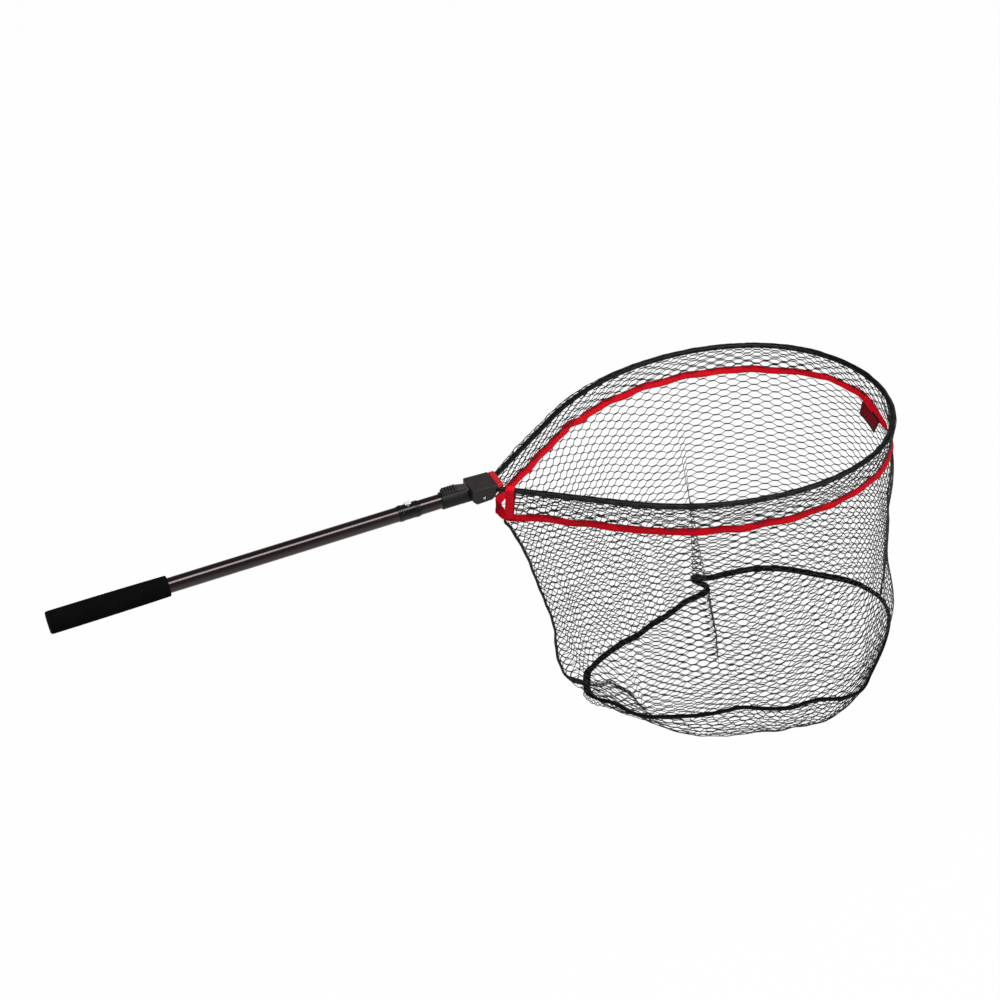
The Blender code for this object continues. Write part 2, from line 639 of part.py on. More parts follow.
def closed_outline(half):
    """A function of t in 0 to 1 round a mirrored outline: 0 at the rear, 0.5 at the tip, far side first."""
    total = half[-1][2]

    def at(t):
        t %= 1.0
        reach = total * (2 * t if t <= 0.5 else 2 - 2 * t)
        for (start, turn0, from_), (end, turn1, to) in zip(half, half[1:]):
            if reach <= to + 1e-12:
                share = (reach - from_) / (to - from_)
                x = start[0] + (end[0] - start[0]) * share
                y = start[1] + (end[1] - start[1]) * share
                heading = turn0 + (turn1 - turn0) * share
                break
        out = Vector((-math.sin(heading), math.cos(heading)))
        if t > 0.5:
            y, out.y = -y, -out.y
        return Vector((x, y)), out

    return at


def outline_stops(half):
    """The values of t at a mirrored outline's own points."""
    total = half[-1][2]
    far = [reach / total / 2 for _, _, reach in half]
    return far + [1 - t for t in reversed(far[1:-1])]


# The bag's rim follows the arms and closes in a small nose under the yoke's front.
apex_x = arm_start[0] - arm_start[1] / math.tan(ARM_ANGLE)
nose_x = apex_x + RIM_NOSE_RADIUS / math.sin(ARM_ANGLE) - RIM_NOSE_RADIUS
nose_run = arm_start[1] / math.sin(ARM_ANGLE) - RIM_NOSE_RADIUS / math.tan(ARM_ANGLE)
rim_steps = hoop_steps(tip_half_width)
rim_steps[0] = ("run", ARM_LENGTH + nose_run)
rim_half = walk((nose_x, 0.0), math.pi / 2, [("arc", RIM_NOSE_RADIUS, ARM_ANGLE - math.pi / 2), *rim_steps])
rim_outline = closed_outline(rim_half)
rim_stops = outline_stops(rim_half)
rim_length = 2 * rim_half[-1][2]

# The base is a rounded kite: its straight sides follow from where its two ends lie under the hoop.
base_rear_x = nose_x + BASE_AHEAD_OF_NOSE
base_length = rim_half[-1][0][0] + BASE_PAST_TIP - base_rear_x
rear_sin, rear_cos = math.sin(BASE_REAR_ANGLE), math.cos(BASE_REAR_ANGLE)
tip_sin, tip_cos = math.sin(BASE_TIP_ANGLE), math.cos(BASE_TIP_ANGLE)
corners_x = BASE_REAR_RADIUS * (1 - rear_sin) + BASE_TIP_RADIUS * (1 - tip_sin)
corners_x += BASE_SIDE_RADIUS * (rear_sin + tip_sin)
rise_left = BASE_TIP_RADIUS * tip_cos + BASE_SIDE_RADIUS * (rear_cos - tip_cos) - BASE_REAR_RADIUS * rear_cos
rear_slope = rear_sin / rear_cos
tip_slope = tip_sin / tip_cos
rear_run_x = (tip_slope * (base_length - corners_x) + rise_left) / (rear_slope + tip_slope)
tip_run_x = base_length - corners_x - rear_run_x
base_half = walk((base_rear_x, 0.0), math.pi / 2, [
    ("arc", BASE_REAR_RADIUS, BASE_REAR_ANGLE - math.pi / 2),
    ("run", rear_run_x / rear_cos),
    ("arc", BASE_SIDE_RADIUS, -BASE_REAR_ANGLE - BASE_TIP_ANGLE),
    ("run", tip_run_x / tip_cos),
    ("arc", BASE_TIP_RADIUS, BASE_TIP_ANGLE - math.pi / 2),
])
base_outline = closed_outline(base_half)
base_round = 2 * base_half[-1][2]
base_stops = outline_stops(base_half)

wall_top = -BAND_DROP - BAND_HEIGHT / 2 - CLEAR
wall_bottom = -BASE_DEPTH + BINDING_HEIGHT / 2 + CLEAR
wall_height = wall_top - wall_bottom
bulge_top = WALL_BULGE_POWER / (WALL_BULGE_POWER + 1)
bulge_peak = bulge_top**WALL_BULGE_POWER * (1 - bulge_top)


def wall_point(t, v, inset=0.0):
    """A point of the bag's wall: t goes round it, v from the red band (0) down to the base binding (1)."""
    top, top_out = rim_outline(t)
    low, low_out = base_outline(t)
    low = low + Vector((0, BASE_LEAN))
    ease = v + WALL_DRAW_IN * math.sin(math.pi * v)
    out = top_out.lerp(low_out, ease).normalized()
    swell = v**WALL_BULGE_POWER * (1 - v) / bulge_peak
    swell *= (WALL_BULGE_REAR if out.x < 0 else WALL_BULGE_TIP) * out.x**2
    spot = top.lerp(low, ease) + out * (swell - inset)
    return Vector((spot.x, spot.y, wall_top - wall_height * v))


def shell(name, rows, closed, look, openings=()):
    """A closed solid from rows of (outer, inner) point pairs, a ring of rows where closed is set.

    The cells named in openings, as (row, place in the row), are left out and walled round.
    """
    shape = bmesh.new()
    grid = [[(shape.verts.new(outer), shape.verts.new(inner)) for outer, inner in row] for row in rows]
    borders = {}
    for i in range(len(grid) if closed else len(grid) - 1):
        here, there = grid[i], grid[(i + 1) % len(grid)]
        for j in range(len(here) - 1):
            if (i, j) in openings:
                continue
            corners = [here[j], here[j + 1], there[j + 1], there[j]]
            for layer in (0, 1):
                shape.faces.new([corner[layer] for corner in corners])
            for side in zip(corners, corners[1:] + corners[:1]):
                shared = borders.pop(frozenset(side), None)
                if not shared:
                    borders[frozenset(side)] = side
    for start, end in borders.values():
        shape.faces.new((start[0], start[1], end[1], end[0]))
    return place(name, finished(shape, name), look, parent=rim)


def tape_ring(name, outline, stops, centre_z, height, thickness, lean, look):
    """A flat tape on edge, closed round an outline."""
    rows = []
    for t in stops:
        spot, out = outline(t)
        spot = spot + Vector((0, lean))
        row = []
        for z in (centre_z + height / 2, centre_z - height / 2):
            outer = spot + out * thickness / 2
            inner = spot - out * thickness / 2
            row.append(((*outer, z), (*inner, z)))
        rows.append(row)
    return shell(name, rows, True, look)


def wall_panel(name, t_stops, v_stops, thickness, look, inset=0.0, openings=()):
    """A stretch of the bag's wall as a thin solid."""
    faces = (inset - thickness / 2, inset + thickness / 2)
    rows = [[[wall_point(t, v, face) for face in faces] for v in v_stops] for t in t_stops]
    return shell(name, rows, False, look, openings)


def spread(start, end, pieces):
    """Evenly spaced stops from start to end."""
    return [start + (end - start) * i / pieces for i in range(pieces + 1)]


def barred(start, end, openings, bar, pieces):
    """Stops across a net, with a bar at each end and between its openings, and the strips that are open."""
    pitch = (end - start - bar) / openings
    stops = [start]
    open_strips = []
    for i in range(openings):
        edge = start + pitch * i + bar
        open_strips += range(len(stops), len(stops) + pieces)
        stops += spread(edge, edge + pitch - bar, pieces)
    return stops + [end], open_strips


# Upper net: the strip between the hoop and the red tape
tape_ring("upper_net", rim_outline, rim_stops,
          -(rod_radius + CLEAR + BAND_DROP - BAND_HEIGHT / 2 - CLEAR) / 2,
          BAND_DROP - BAND_HEIGHT / 2 - rod_radius - 2 * CLEAR, NET_THICKNESS, 0.0, NET_MESH)
tape_ring("red_band", rim_outline, rim_stops, -BAND_DROP, BAND_HEIGHT, BAND_THICKNESS, 0.0, RED_TAPE)

# Strap loop: red tape over the near arm, its two ends sewn to the red band below it
loop_gap = rod_radius + CLEAR
band_gap = BAND_THICKNESS / 2 + CLEAR
net_gap = NET_THICKNESS / 2 + 2 * CLEAR
leg = [(band_gap, -BAND_DROP - BAND_HEIGHT / 2), (band_gap, -BAND_DROP + BAND_HEIGHT / 2 - 3 * CLEAR),
       (net_gap, -BAND_DROP + BAND_HEIGHT / 2 + CLEAR)]
over = arc((0, 0), loop_gap, 0, 180, 10)
strap_line = leg + over + [(-y, z) for y, z in reversed(leg)]
strap_rows = []
for i, (y, z) in enumerate(strap_line):
    before = Vector(strap_line[max(i - 1, 0)])
    after = Vector(strap_line[min(i + 1, len(strap_line) - 1)])
    run = (after - before).normalized()
    outer = Vector((y, z)) + Vector((run.y, -run.x)) * STRAP_THICKNESS
    strap_rows.append([((along, *outer), (along, y, z)) for along in (-STRAP_WIDTH / 2, STRAP_WIDTH / 2)])
strap = shell("strap_loop_near", strap_rows, False, RED_TAPE)
strap.location = (arm_start[0] + STRAP_ALONG_ARM * math.cos(ARM_ANGLE),
                  -arm_start[1] - STRAP_ALONG_ARM * math.sin(ARM_ANGLE), 0)
strap.rotation_euler = (0, 0, -ARM_ANGLE)

# Side nets: coarse grids of openings that stand for fine mesh, with a seam tape between them at either end
seam_half = SEAM_WIDTH / 2 / rim_length
seam_gap = seam_half + 2 * CLEAR / rim_length
levels, open_levels = barred(0, 1, NET_OPENINGS_DOWN, NET_BAR / wall_height, 1)
for name, rear in (("side_net_far", 0.0), ("side_net_near", 0.5)):
    columns, open_columns = barred(rear + seam_gap, rear + 0.5 - seam_gap, NET_OPENINGS_ACROSS,
                                   NET_BAR / rim_length, OPENING_PIECES)
    openings = {(i, j) for i in open_columns for j in open_levels}
    wall_panel(name, columns, levels, NET_THICKNESS, NET_MESH, openings=openings)
for name, middle in (("rear_seam_tape", 0.0), ("front_seam_tape", 0.5)):
    wall_panel(name, spread(middle - seam_half, middle + seam_half, 2), levels, SEAM_THICKNESS, BLACK_TAPE)

# Base: binding tape round it, and the base net that sags inside, a grid with an opening in its middle
tape_ring("base_binding", base_outline, base_stops, -BASE_DEPTH, BINDING_HEIGHT, BINDING_THICKNESS, BASE_LEAN,
          BLACK_TAPE)
base_middle = Vector((base_rear_x + base_length / 2, BASE_LEAN))
base_edge = BINDING_THICKNESS / 2 + CLEAR


def base_point(t, u, z_shift):
    """A point of the base net: t goes round it, u from the binding (0) to the opening in its middle (1)."""
    spot, out = base_outline(t)
    spot = spot + Vector((0, BASE_LEAN)) - out * base_edge
    share = math.cos(u * math.acos(BASE_MIDDLE_SHARE))
    sag = BASE_SAG * (1 - share**BASE_SAG_POWER)
    return (*base_middle.lerp(spot, share), -BASE_DEPTH - sag + z_shift)


round_stops, open_round = barred(0, 1 + NET_BAR / base_round, BASE_OPENINGS_ROUND, NET_BAR / base_round,
                                 OPENING_PIECES)
inward_stops, open_inward = barred(0, 1, BASE_OPENINGS_INWARD, NET_BAR / (base_length / 2), OPENING_PIECES)
base_faces = (NET_THICKNESS / 2, -NET_THICKNESS / 2)
base_rows = []
for t in round_stops[:-2]:
    base_rows.append([[base_point(t, u, face) for face in base_faces] for u in inward_stops])
shell("base_net", base_rows, True, NET_MESH, {(i, j) for i in open_round for j in open_inward})

# Bare label tag that hangs inside the wall below the red band, across the tip seam
tag_middle = 0.5 + TAG_PAST_SEAM / rim_length
tag_start = tag_middle - TAG_WIDTH / 2 / rim_length
tag_end = tag_middle + TAG_WIDTH / 2 / rim_length
tag_inset = SEAM_THICKNESS / 2 + 4 * CLEAR + TAG_THICKNESS / 2
wall_panel("label_tag", spread(tag_start, tag_end, 8), spread(0, TAG_HEIGHT / wall_height, 2), TAG_THICKNESS,
           RED_TAPE, inset=tag_inset)
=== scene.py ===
import math

import bmesh
import bpy
import numpy as np
from mathutils import Matrix, Vector


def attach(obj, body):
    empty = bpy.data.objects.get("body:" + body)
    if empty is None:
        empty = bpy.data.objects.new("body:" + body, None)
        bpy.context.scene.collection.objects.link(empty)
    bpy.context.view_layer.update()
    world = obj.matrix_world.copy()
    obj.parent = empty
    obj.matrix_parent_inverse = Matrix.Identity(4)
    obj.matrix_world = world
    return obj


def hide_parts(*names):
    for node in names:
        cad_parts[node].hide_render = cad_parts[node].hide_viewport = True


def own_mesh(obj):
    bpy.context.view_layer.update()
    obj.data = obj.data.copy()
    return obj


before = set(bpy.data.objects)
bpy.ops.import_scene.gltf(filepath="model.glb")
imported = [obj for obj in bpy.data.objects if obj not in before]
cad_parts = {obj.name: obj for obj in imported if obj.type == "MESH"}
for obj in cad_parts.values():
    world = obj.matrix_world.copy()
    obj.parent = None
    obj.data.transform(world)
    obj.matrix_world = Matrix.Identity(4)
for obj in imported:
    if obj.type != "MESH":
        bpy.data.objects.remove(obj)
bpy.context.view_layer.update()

scene = bpy.context.scene
scene.view_settings.view_transform = "Standard"


# Camera: a short telephoto in front of the grip's side and above it, looking down into the open hoop.
# Its place, turn and lens follow from the hoop and the handle as the photograph shows them.
def placed(name, data):
    """A new object in the scene, at the origin."""
    made = bpy.data.objects.new(name, data)
    scene.collection.objects.link(made)
    return made


camera_place = Vector((-0.1958826, -2.25355312, 1.64460866))
camera_right = Vector((0.91956736, -0.38295885, -0.08796812))
camera_up = Vector((0.28815667, 0.50504452, 0.81356977))
camera_turn = Matrix((camera_right, camera_up, camera_right.cross(camera_up))).transposed()
camera_data = bpy.data.cameras.new("photo_camera")
camera_data.sensor_width = 36
camera_data.lens = 71.552
camera_data.clip_end = 100
camera = placed("photo_camera", camera_data)
camera.matrix_world = Matrix.Translation(camera_place) @ camera_turn.to_4x4()
scene.camera = camera


# Studio: a pale floor well below the hanging bag, a sky that is bright round the horizon and dim overhead,
# a long softbox above the handle and two square ones in front, to the left and to the right.
class Shade:
    """A shader socket that takes part in Python sums; every other node comes from its make method."""

    def __init__(self, tree, socket=None):
        self.tree = tree
        self.socket = socket

    def make(self, kind, settings, sockets, output=0):
        node = self.tree.nodes.new(kind)
        for key, value in settings.items():
            setattr(node, key, value)
        for key, value in sockets.items():
            if isinstance(value, Shade):
                self.tree.links.new(value.socket, node.inputs[key])
            else:
                node.inputs[key].default_value = value
        return Shade(self.tree, node.outputs[output])

    def math(self, operation, first, second=0.0):
        return self.make("ShaderNodeMath", {"operation": operation}, {0: first, 1: second})

    def coordinates(self, kind):
        return self.make("ShaderNodeTexCoord", {}, {}, kind)

    def axis(self, name):
        return self.make("ShaderNodeSeparateXYZ", {}, {0: self}, name)

    def into(self, node, key):
        self.tree.links.new(self.socket, node.inputs[key])

    def __add__(self, other):
        return self.math("ADD", self, other)

    def __sub__(self, other):
        return self.math("SUBTRACT", self, other)

    def __rsub__(self, other):
        return self.math("SUBTRACT", other, self)

    def __mul__(self, other):
        return self.math("MULTIPLY", self, other)

    def __pow__(self, other):
        return self.math("POWER", self, other)


floor_height, floor_reach = -0.95, 25.0
floor_white, mirrored_share = 0.985, 0.45
floor_signs = ((-1, -1), (1, -1), (1, 1), (-1, 1))
floor_corners = [(x * floor_reach, y * floor_reach, floor_height) for x, y in floor_signs]
floor_mesh = bpy.data.meshes.new("studio_floor")
floor_mesh.from_pydata(floor_corners, [], [(0, 1, 2, 3)])
floor_look = bpy.data.materials.new("pale_floor")
floor_look.use_nodes = True
floor_look.node_tree.nodes.clear()
floor_shade = Shade(floor_look.node_tree)
seen, mirrored, passed = (floor_shade.make("ShaderNodeLightPath", {}, {}, f"Is {ray} Ray")
                          for ray in ("Camera", "Glossy", "Transmission"))
shown = floor_shade.math("MINIMUM", seen + mirrored * mirrored_share + passed, 1.0) * floor_white
paint = floor_shade.make("ShaderNodeBsdfDiffuse", {}, {"Color": (0.86, 0.86, 0.86, 1)})
glow = floor_shade.make("ShaderNodeEmission", {}, {"Color": (1, 1, 1, 1), "Strength": 1.0})
floor_mix = floor_shade.make("ShaderNodeMixShader", {}, {0: shown, 1: paint, 2: glow})
floor_out = floor_look.node_tree.nodes.new("ShaderNodeOutputMaterial")
floor_mix.into(floor_out, "Surface")
floor_mesh.materials.append(floor_look)
placed("studio_floor", floor_mesh)

sky = bpy.data.worlds.new("studio_sky")
sky.use_nodes = True
scene.world = sky
sky_shade = Shade(sky.node_tree)
height = sky_shade.coordinates("Generated").axis("Z")
haze = sky_shade.math("MAXIMUM", 1.0 - height, 0.0) ** 3.0
sky_level = sky_shade.math("MINIMUM", haze * 0.26 + 0.12, 1.0)
sky_level.into(sky.node_tree.nodes["Background"], "Strength")
sky.node_tree.nodes["Background"].inputs["Color"].default_value = (1, 1, 1, 1)


def softbox(name, place, aim_at, width, length, power):
    """A rectangular area lamp at a place, its long side level, turned towards a point."""
    lamp = bpy.data.lights.new(name, "AREA")
    lamp.shape = "RECTANGLE"
    lamp.size = length
    lamp.size_y = width
    lamp.energy = power
    turn = (Vector(aim_at) - Vector(place)).to_track_quat("-Z", "Y")
    placed(name, lamp).matrix_world = Matrix.Translation(place) @ turn.to_matrix().to_4x4()


softbox("long_softbox", (0.85, -0.70, 1.9), (0.85, 0.0, 0.0), width=0.85, length=2.8, power=62)
softbox("left_softbox", (-2.1, -1.9, 1.3), (0.5, 0.0, -0.1), width=1.4, length=1.4, power=7)
softbox("right_softbox", (2.9, -1.9, 1.3), (0.7, 0.0, -0.1), width=1.4, length=1.4, power=26)


# Foam grip: a thick sleeve of closed-cell foam pushed over the tube's rear end, a little thinner in front.
# Its skin is dead matt, with fine pores and faint darker patches from handling.
def finish(name, constants):
    """A Principled material with its constants set: the material, its surface and a Shade."""
    look = bpy.data.materials.new(name)
    look.use_nodes = True
    surface = look.node_tree.nodes["Principled BSDF"]
    for key, value in constants.items():
        surface.inputs[key].default_value = value
    return look, surface, Shade(look.node_tree)


def two_tone(shade, mask, first, second):
    """One colour where the mask is 0 and another where it is 1."""
    return shade.make("ShaderNodeMix", {"data_type": "RGBA"}, {0: mask, 6: (*first, 1), 7: (*second, 1)}, 2)


def speckle(shade, where, scale, detail=2.0):
    """Cloudy noise from 0 to 1 at so many spots a metre."""
    return shade.make("ShaderNodeTexNoise", {}, {"Vector": where, "Scale": scale, "Detail": detail})


def relief(shade, height, strength, depth):
    """A bump whose height runs from 0 to 1 over the depth in metres."""
    return shade.make("ShaderNodeBump", {}, {"Height": height, "Strength": strength, "Distance": depth})


def smoothed(mesh, sharp=40):
    """Shades a mesh smooth, but for edges sharper than so many degrees."""
    mesh.shade_smooth()
    mesh.set_sharp_from_angle(angle=math.radians(sharp))


def piece(name, shape, look):
    """A bmesh as an object at the origin, smooth but for its sharp edges."""
    mesh = bpy.data.meshes.new(name)
    shape.to_mesh(mesh)
    shape.free()
    mesh.materials.append(look)
    smoothed(mesh)
    return placed(name, mesh)


def rounded(corners, radius, steps=4):
    """An outline with each corner between its ends rounded off, as far as the sides beside it allow."""
    line = [tuple(corners[0])]
    for before, here, after in zip(corners, corners[1:], corners[2:]):
        back = Vector(before) - Vector(here)
        ahead = Vector(after) - Vector(here)
        reach = min(radius, back.length * 0.45, ahead.length * 0.45)
        start = Vector(here) + back.normalized() * reach
        end = Vector(here) + ahead.normalized() * reach
        for i in range(steps + 1):
            s = i / steps
            line.append(tuple(start * (1 - s) ** 2 + Vector(here) * 2 * s * (1 - s) + end * s**2))
    return line + [tuple(corners[-1])]


def turned(name, profile, look, sides=80, place=None):
    """A piece turned about the X axis from (along, radius) points; a tube where no end has radius 0."""
    shape = bmesh.new()
    turns = [(math.cos(math.tau * i / sides), math.sin(math.tau * i / sides)) for i in range(sides)]
    rings = []
    for along, radius in profile:
        spokes = turns if radius > 1e-7 else [(0, 0)]
        rings.append([shape.verts.new((along, radius * y, radius * z)) for y, z in spokes])
    pairs = list(zip(rings, rings[1:]))
    if len(rings[0]) > 1:
        pairs.append((rings[-1], rings[0]))
    for first, second in pairs:
        for i in range(sides):
            j = (i + 1) % sides
            ends = ((first, i), (first, j), (second, j), (second, i))
            corners = list(dict.fromkeys(ring[k % len(ring)] for ring, k in ends))
            if len(corners) > 2:
                shape.faces.new(corners)
    bmesh.ops.recalc_face_normals(shape, faces=shape.faces)
    if place is not None:
        shape.transform(place)
    return piece(name, shape, look)


def fitted(made, body, node):
    """Puts a piece on its body in place of a solid of the frame."""
    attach(made, body)
    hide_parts(node)


tube_radius, fit_gap = 0.011, 0.0003
grip_rear, grip_front = -0.084, 0.084
grip_rear_radius, grip_front_radius = 0.0164, 0.0151
foam_look, foam_surface, foam = finish("closed_cell_foam", {"Specular IOR Level": 0.03})
foam_place = foam.coordinates("Object")
foam_patch = speckle(foam, foam_place, 38)
foam_colour = two_tone(foam, foam_patch, (0.0018, 0.0018, 0.0020), (0.0042, 0.0042, 0.0045))
foam_colour.into(foam_surface, "Base Color")
pores = foam.make("ShaderNodeTexVoronoi", {}, {"Vector": foam_place, "Scale": 850.0})
relief(foam, pores * 0.7 + speckle(foam, foam_place, 420) * 0.3, 0.5, 0.0004).into(foam_surface, "Normal")
(foam_patch * 0.08 + 0.88).into(foam_surface, "Roughness")
grip_steps, grip_taper, grip_lip = 12, 2.4, 0.0003
grip_side = [(grip_rear + (grip_front - grip_rear) * i / grip_steps, grip_rear_radius
              + (grip_front_radius - grip_rear_radius) * (i / grip_steps) ** grip_taper)
             for i in range(1, grip_steps)]
grip_line = rounded([(grip_rear, tube_radius + fit_gap), (grip_rear, grip_rear_radius - grip_lip),
                     (grip_rear + grip_lip, grip_rear_radius), *grip_side, (grip_front, grip_front_radius),
                     (grip_front, tube_radius + fit_gap)], radius=0.0028, steps=5)
grip = turned("foam_grip", grip_line, foam_look)
fitted(grip, "handle", "grip_sleeve")


# Butt cap: a moulded rubber disc flush with the foam, its corner well rounded, with a raised rim on its end
# face and a plug inside the tube.
def clouded(name, constants, cloud, dark, light, rough, grain):
    """A finish clouded by (spots a metre, detail) between two colours. The cloud makes it rough by
    (gain, least), and its grain is (spots a metre, strength, depth)."""
    look, surface, shade = finish(name, constants)
    place = shade.coordinates("Object")
    mask = speckle(shade, place, *cloud)
    two_tone(shade, mask, dark, light).into(surface, "Base Color")
    (mask * rough[0] + rough[1]).into(surface, "Roughness")
    relief(shade, speckle(shade, place, grain[0]), *grain[1:]).into(surface, "Normal")
    return look


rubber_look = clouded("moulded_rubber", {"Specular IOR Level": 0.06}, (120, 4.0), (0.0020, 0.0020, 0.0022),
                      (0.0050, 0.0050, 0.0054), (0.2, 0.65), (1500, 0.25, 0.0002))
cap_line = rounded([(-0.0867, 0), (-0.0867, 0.0096), (-0.0873, 0.0102), (-0.0873, 0.0138), (-0.0867, 0.0153),
                    (-0.0856, 0.0160), (-0.0843, 0.0162), (-0.0841, 0.0160), (-0.0841, 0.0095),
                    (-0.0720, 0.0095), (-0.0720, 0)], radius=0.0006)
fitted(turned("rubber_butt", cap_line, rubber_look), "handle", "butt_cap")


# Outer tube: drawn aluminium with a dark brown-black gloss coat, open at the front for the inner tube.
# Fine polishing lines run along it, and the coat is a little duller in patches.
def pipe(name, rear, front, inside, outside):
    """A length of coated tube, its edges just broken."""
    line = [(rear, inside), (rear, outside), (front, outside), (front, inside), (rear, inside)]
    return turned(name, rounded(line, radius=0.0003, steps=2)[:-1], tube_look)


tube_look, tube_surface, tube = finish("dark_gloss_tube", {
    "Metallic": 0.85, "Coat Weight": 0.25, "Coat Roughness": 0.06})
tube_place = tube.coordinates("Object")
drawn = tube.make("ShaderNodeMapping", {}, {"Vector": tube_place, "Scale": (6.0, 900.0, 900.0)})
lines = speckle(tube, drawn, 1.0, 3.0)
patch = speckle(tube, tube_place, 26, 3.0)
two_tone(tube, patch, (0.034, 0.024, 0.025), (0.05, 0.037, 0.038)).into(tube_surface, "Base Color")
(lines * 0.02 + patch * 0.04 + 0.12).into(tube_surface, "Roughness")
relief(tube, lines, 0.01, 0.00002).into(tube_surface, "Normal")
tube_wall, tube_front = 0.0012, 0.4252
outer = pipe("handle_tube", grip_rear, tube_front, tube_radius - tube_wall, tube_radius)
fitted(outer, "handle", "outer_tube")


# Lock collar: a glossy black moulded bush on the outer tube's mouth, with a rounded bead behind the button,
# a double bead in front of it and a pocket on top that the push button sinks into.
def plain(made):
    """Makes a piece's modifiers into its own mesh."""
    graph = bpy.context.evaluated_depsgraph_get()
    mesh = bpy.data.meshes.new_from_object(made.evaluated_get(graph))
    made.modifiers.clear()
    made.data = mesh
    return made


def carved(made, cutters, operation="DIFFERENCE"):
    """Cuts other pieces out of one, or joins them to it, and throws them away."""
    for cutter in cutters:
        change = made.modifiers.new("carve", "BOOLEAN")
        change.operation = operation
        change.solver = "EXACT"
        change.object = cutter
    plain(made)
    for cutter in cutters:
        bpy.data.objects.remove(cutter)
    smoothed(made.data)
    return made


def slab(name, outline, width, look, edge=0.0, place=None):
    """A side outline of (along, up) points carried across the handle, with its edges rounded."""
    shape = bmesh.new()
    near = [shape.verts.new((x, -width / 2, z)) for x, z in outline]
    far = [shape.verts.new((x, width / 2, z)) for x, z in outline]
    shape.faces.new(near)
    shape.faces.new(reversed(far))
    for i in range(len(near)):
        shape.faces.new((near[i - 1], far[i - 1], far[i], near[i]))
    bmesh.ops.recalc_face_normals(shape, faces=shape.faces)
    if edge:
        bmesh.ops.bevel(shape, geom=shape.edges[:], offset=edge, segments=3, profile=0.5, affect="EDGES",
                        clamp_overlap=True)
    if place is not None:
        shape.transform(place)
    return piece(name, shape, look)


def brick(name, along, up, width, look, edge=0.0, place=None):
    """A slab with a plain rectangle for its side, from (rear, front) and (low, high)."""
    corners = [(along[0], up[0]), (along[1], up[0]), (along[1], up[1]), (along[0], up[1])]
    return slab(name, corners, width, look, edge, place)


def bar(spot, turn, radius, length, look, sides=32):
    """A plain round bar from a spot, turned from the X axis, to cut a hole with or to join on."""
    line = [(0, 0), (0, radius), (length, radius), (length, 0)]
    return turned("bar", line, look, sides, Matrix.Translation(spot) @ turn)


def bead(middle, width):
    """A rounded ridge round the collar, as (along, radius) points."""
    foot, crown = width / 2, width / 3
    return [(middle - foot, collar_radius), (middle - crown, bead_radius), (middle + crown, bead_radius),
            (middle + foot, collar_radius)]


upright = Matrix.Rotation(-math.pi / 2, 4, "Y")
gloss_look = clouded("gloss_black_moulding", {"Specular IOR Level": 0.3}, (90, 3.0), (0.003, 0.003, 0.0032),
                     (0.006, 0.006, 0.0064), (0.05, 0.10), (500, 0.02, 0.00005))
collar_rear, collar_front = 0.4255, 0.4585
collar_radius, bead_radius, collar_bore = 0.0117, 0.0123, 0.0091
spigot_rear, spigot_radius = collar_rear - 0.012, 0.0095
collar_line = rounded([(spigot_rear, collar_bore), (spigot_rear, spigot_radius), (collar_rear, spigot_radius),
                       (collar_rear, collar_radius), *bead(collar_rear + 0.0047, 0.0042),
                       *bead(collar_front - 0.0062, 0.0026), *bead(collar_front - 0.0032, 0.0026),
                       (collar_front, collar_radius), (collar_front, collar_bore),
                       (spigot_rear, collar_bore)], radius=0.0006)[:-1]
collar = turned("collar_bush", collar_line, gloss_look, sides=96)
button_x, button_half, pocket_half = 0.442, 0.0045, 0.0048
button_top, button_depth, button_travel = 0.0159, 0.003, 0.0025
button_base = button_top - button_depth
stem_radius, stem_hole_radius = 0.0022, 0.0025
pocket_floor = button_base - button_travel - fit_gap
pocket_along = (button_x - pocket_half, button_x + pocket_half)
pocket = brick("pocket", pocket_along, (pocket_floor, 0.02), width=0.0076, look=gloss_look)
stem_hole = bar((button_x, 0, 0), upright, stem_hole_radius, length=0.02, look=gloss_look)
carved(collar, [pocket, stem_hole])
fitted(collar, "handle", "lock_collar")


# Push button: a pale grey nylon cap with a crowned top and a stem, pressed in against a small steel spring
# under it. It is moulded in one piece and sits loose in the collar's pocket.
def dress(node, look):
    """Gives a solid of the frame a better material."""
    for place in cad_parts[node].material_slots:
        place.material = look


button_look = clouded("pale_nylon", {"Specular IOR Level": 0.4}, (260, 3.0), (0.62, 0.60, 0.61),
                      (0.72, 0.70, 0.71), (0.0, 0.42), (900, 0.05, 0.00005))
crown_half, crown_drop = 0.0022, 0.0006
cap_outline = [(button_x - button_half, button_base), (button_x + button_half, button_base),
               (button_x + button_half, button_top - crown_drop), (button_x + crown_half, button_top),
               (button_x - crown_half, button_top), (button_x - button_half, button_top - crown_drop)]
nylon_cap = slab("nylon_button", cap_outline, width=0.007, look=button_look, edge=0.0007)
stem = bar((button_x, 0, 0.0091), upright, stem_radius, length=0.0052, look=button_look)
carved(nylon_cap, [stem], "UNION")
fitted(nylon_cap, "button", "tele_button")
steel_look = clouded("plain_steel", {"Metallic": 1.0}, (500, 4.0), (0.52, 0.52, 0.53), (0.68, 0.68, 0.69),
                     (0.2, 0.22), (3000, 0.08, 0.00005))
dress("button_spring", steel_look)

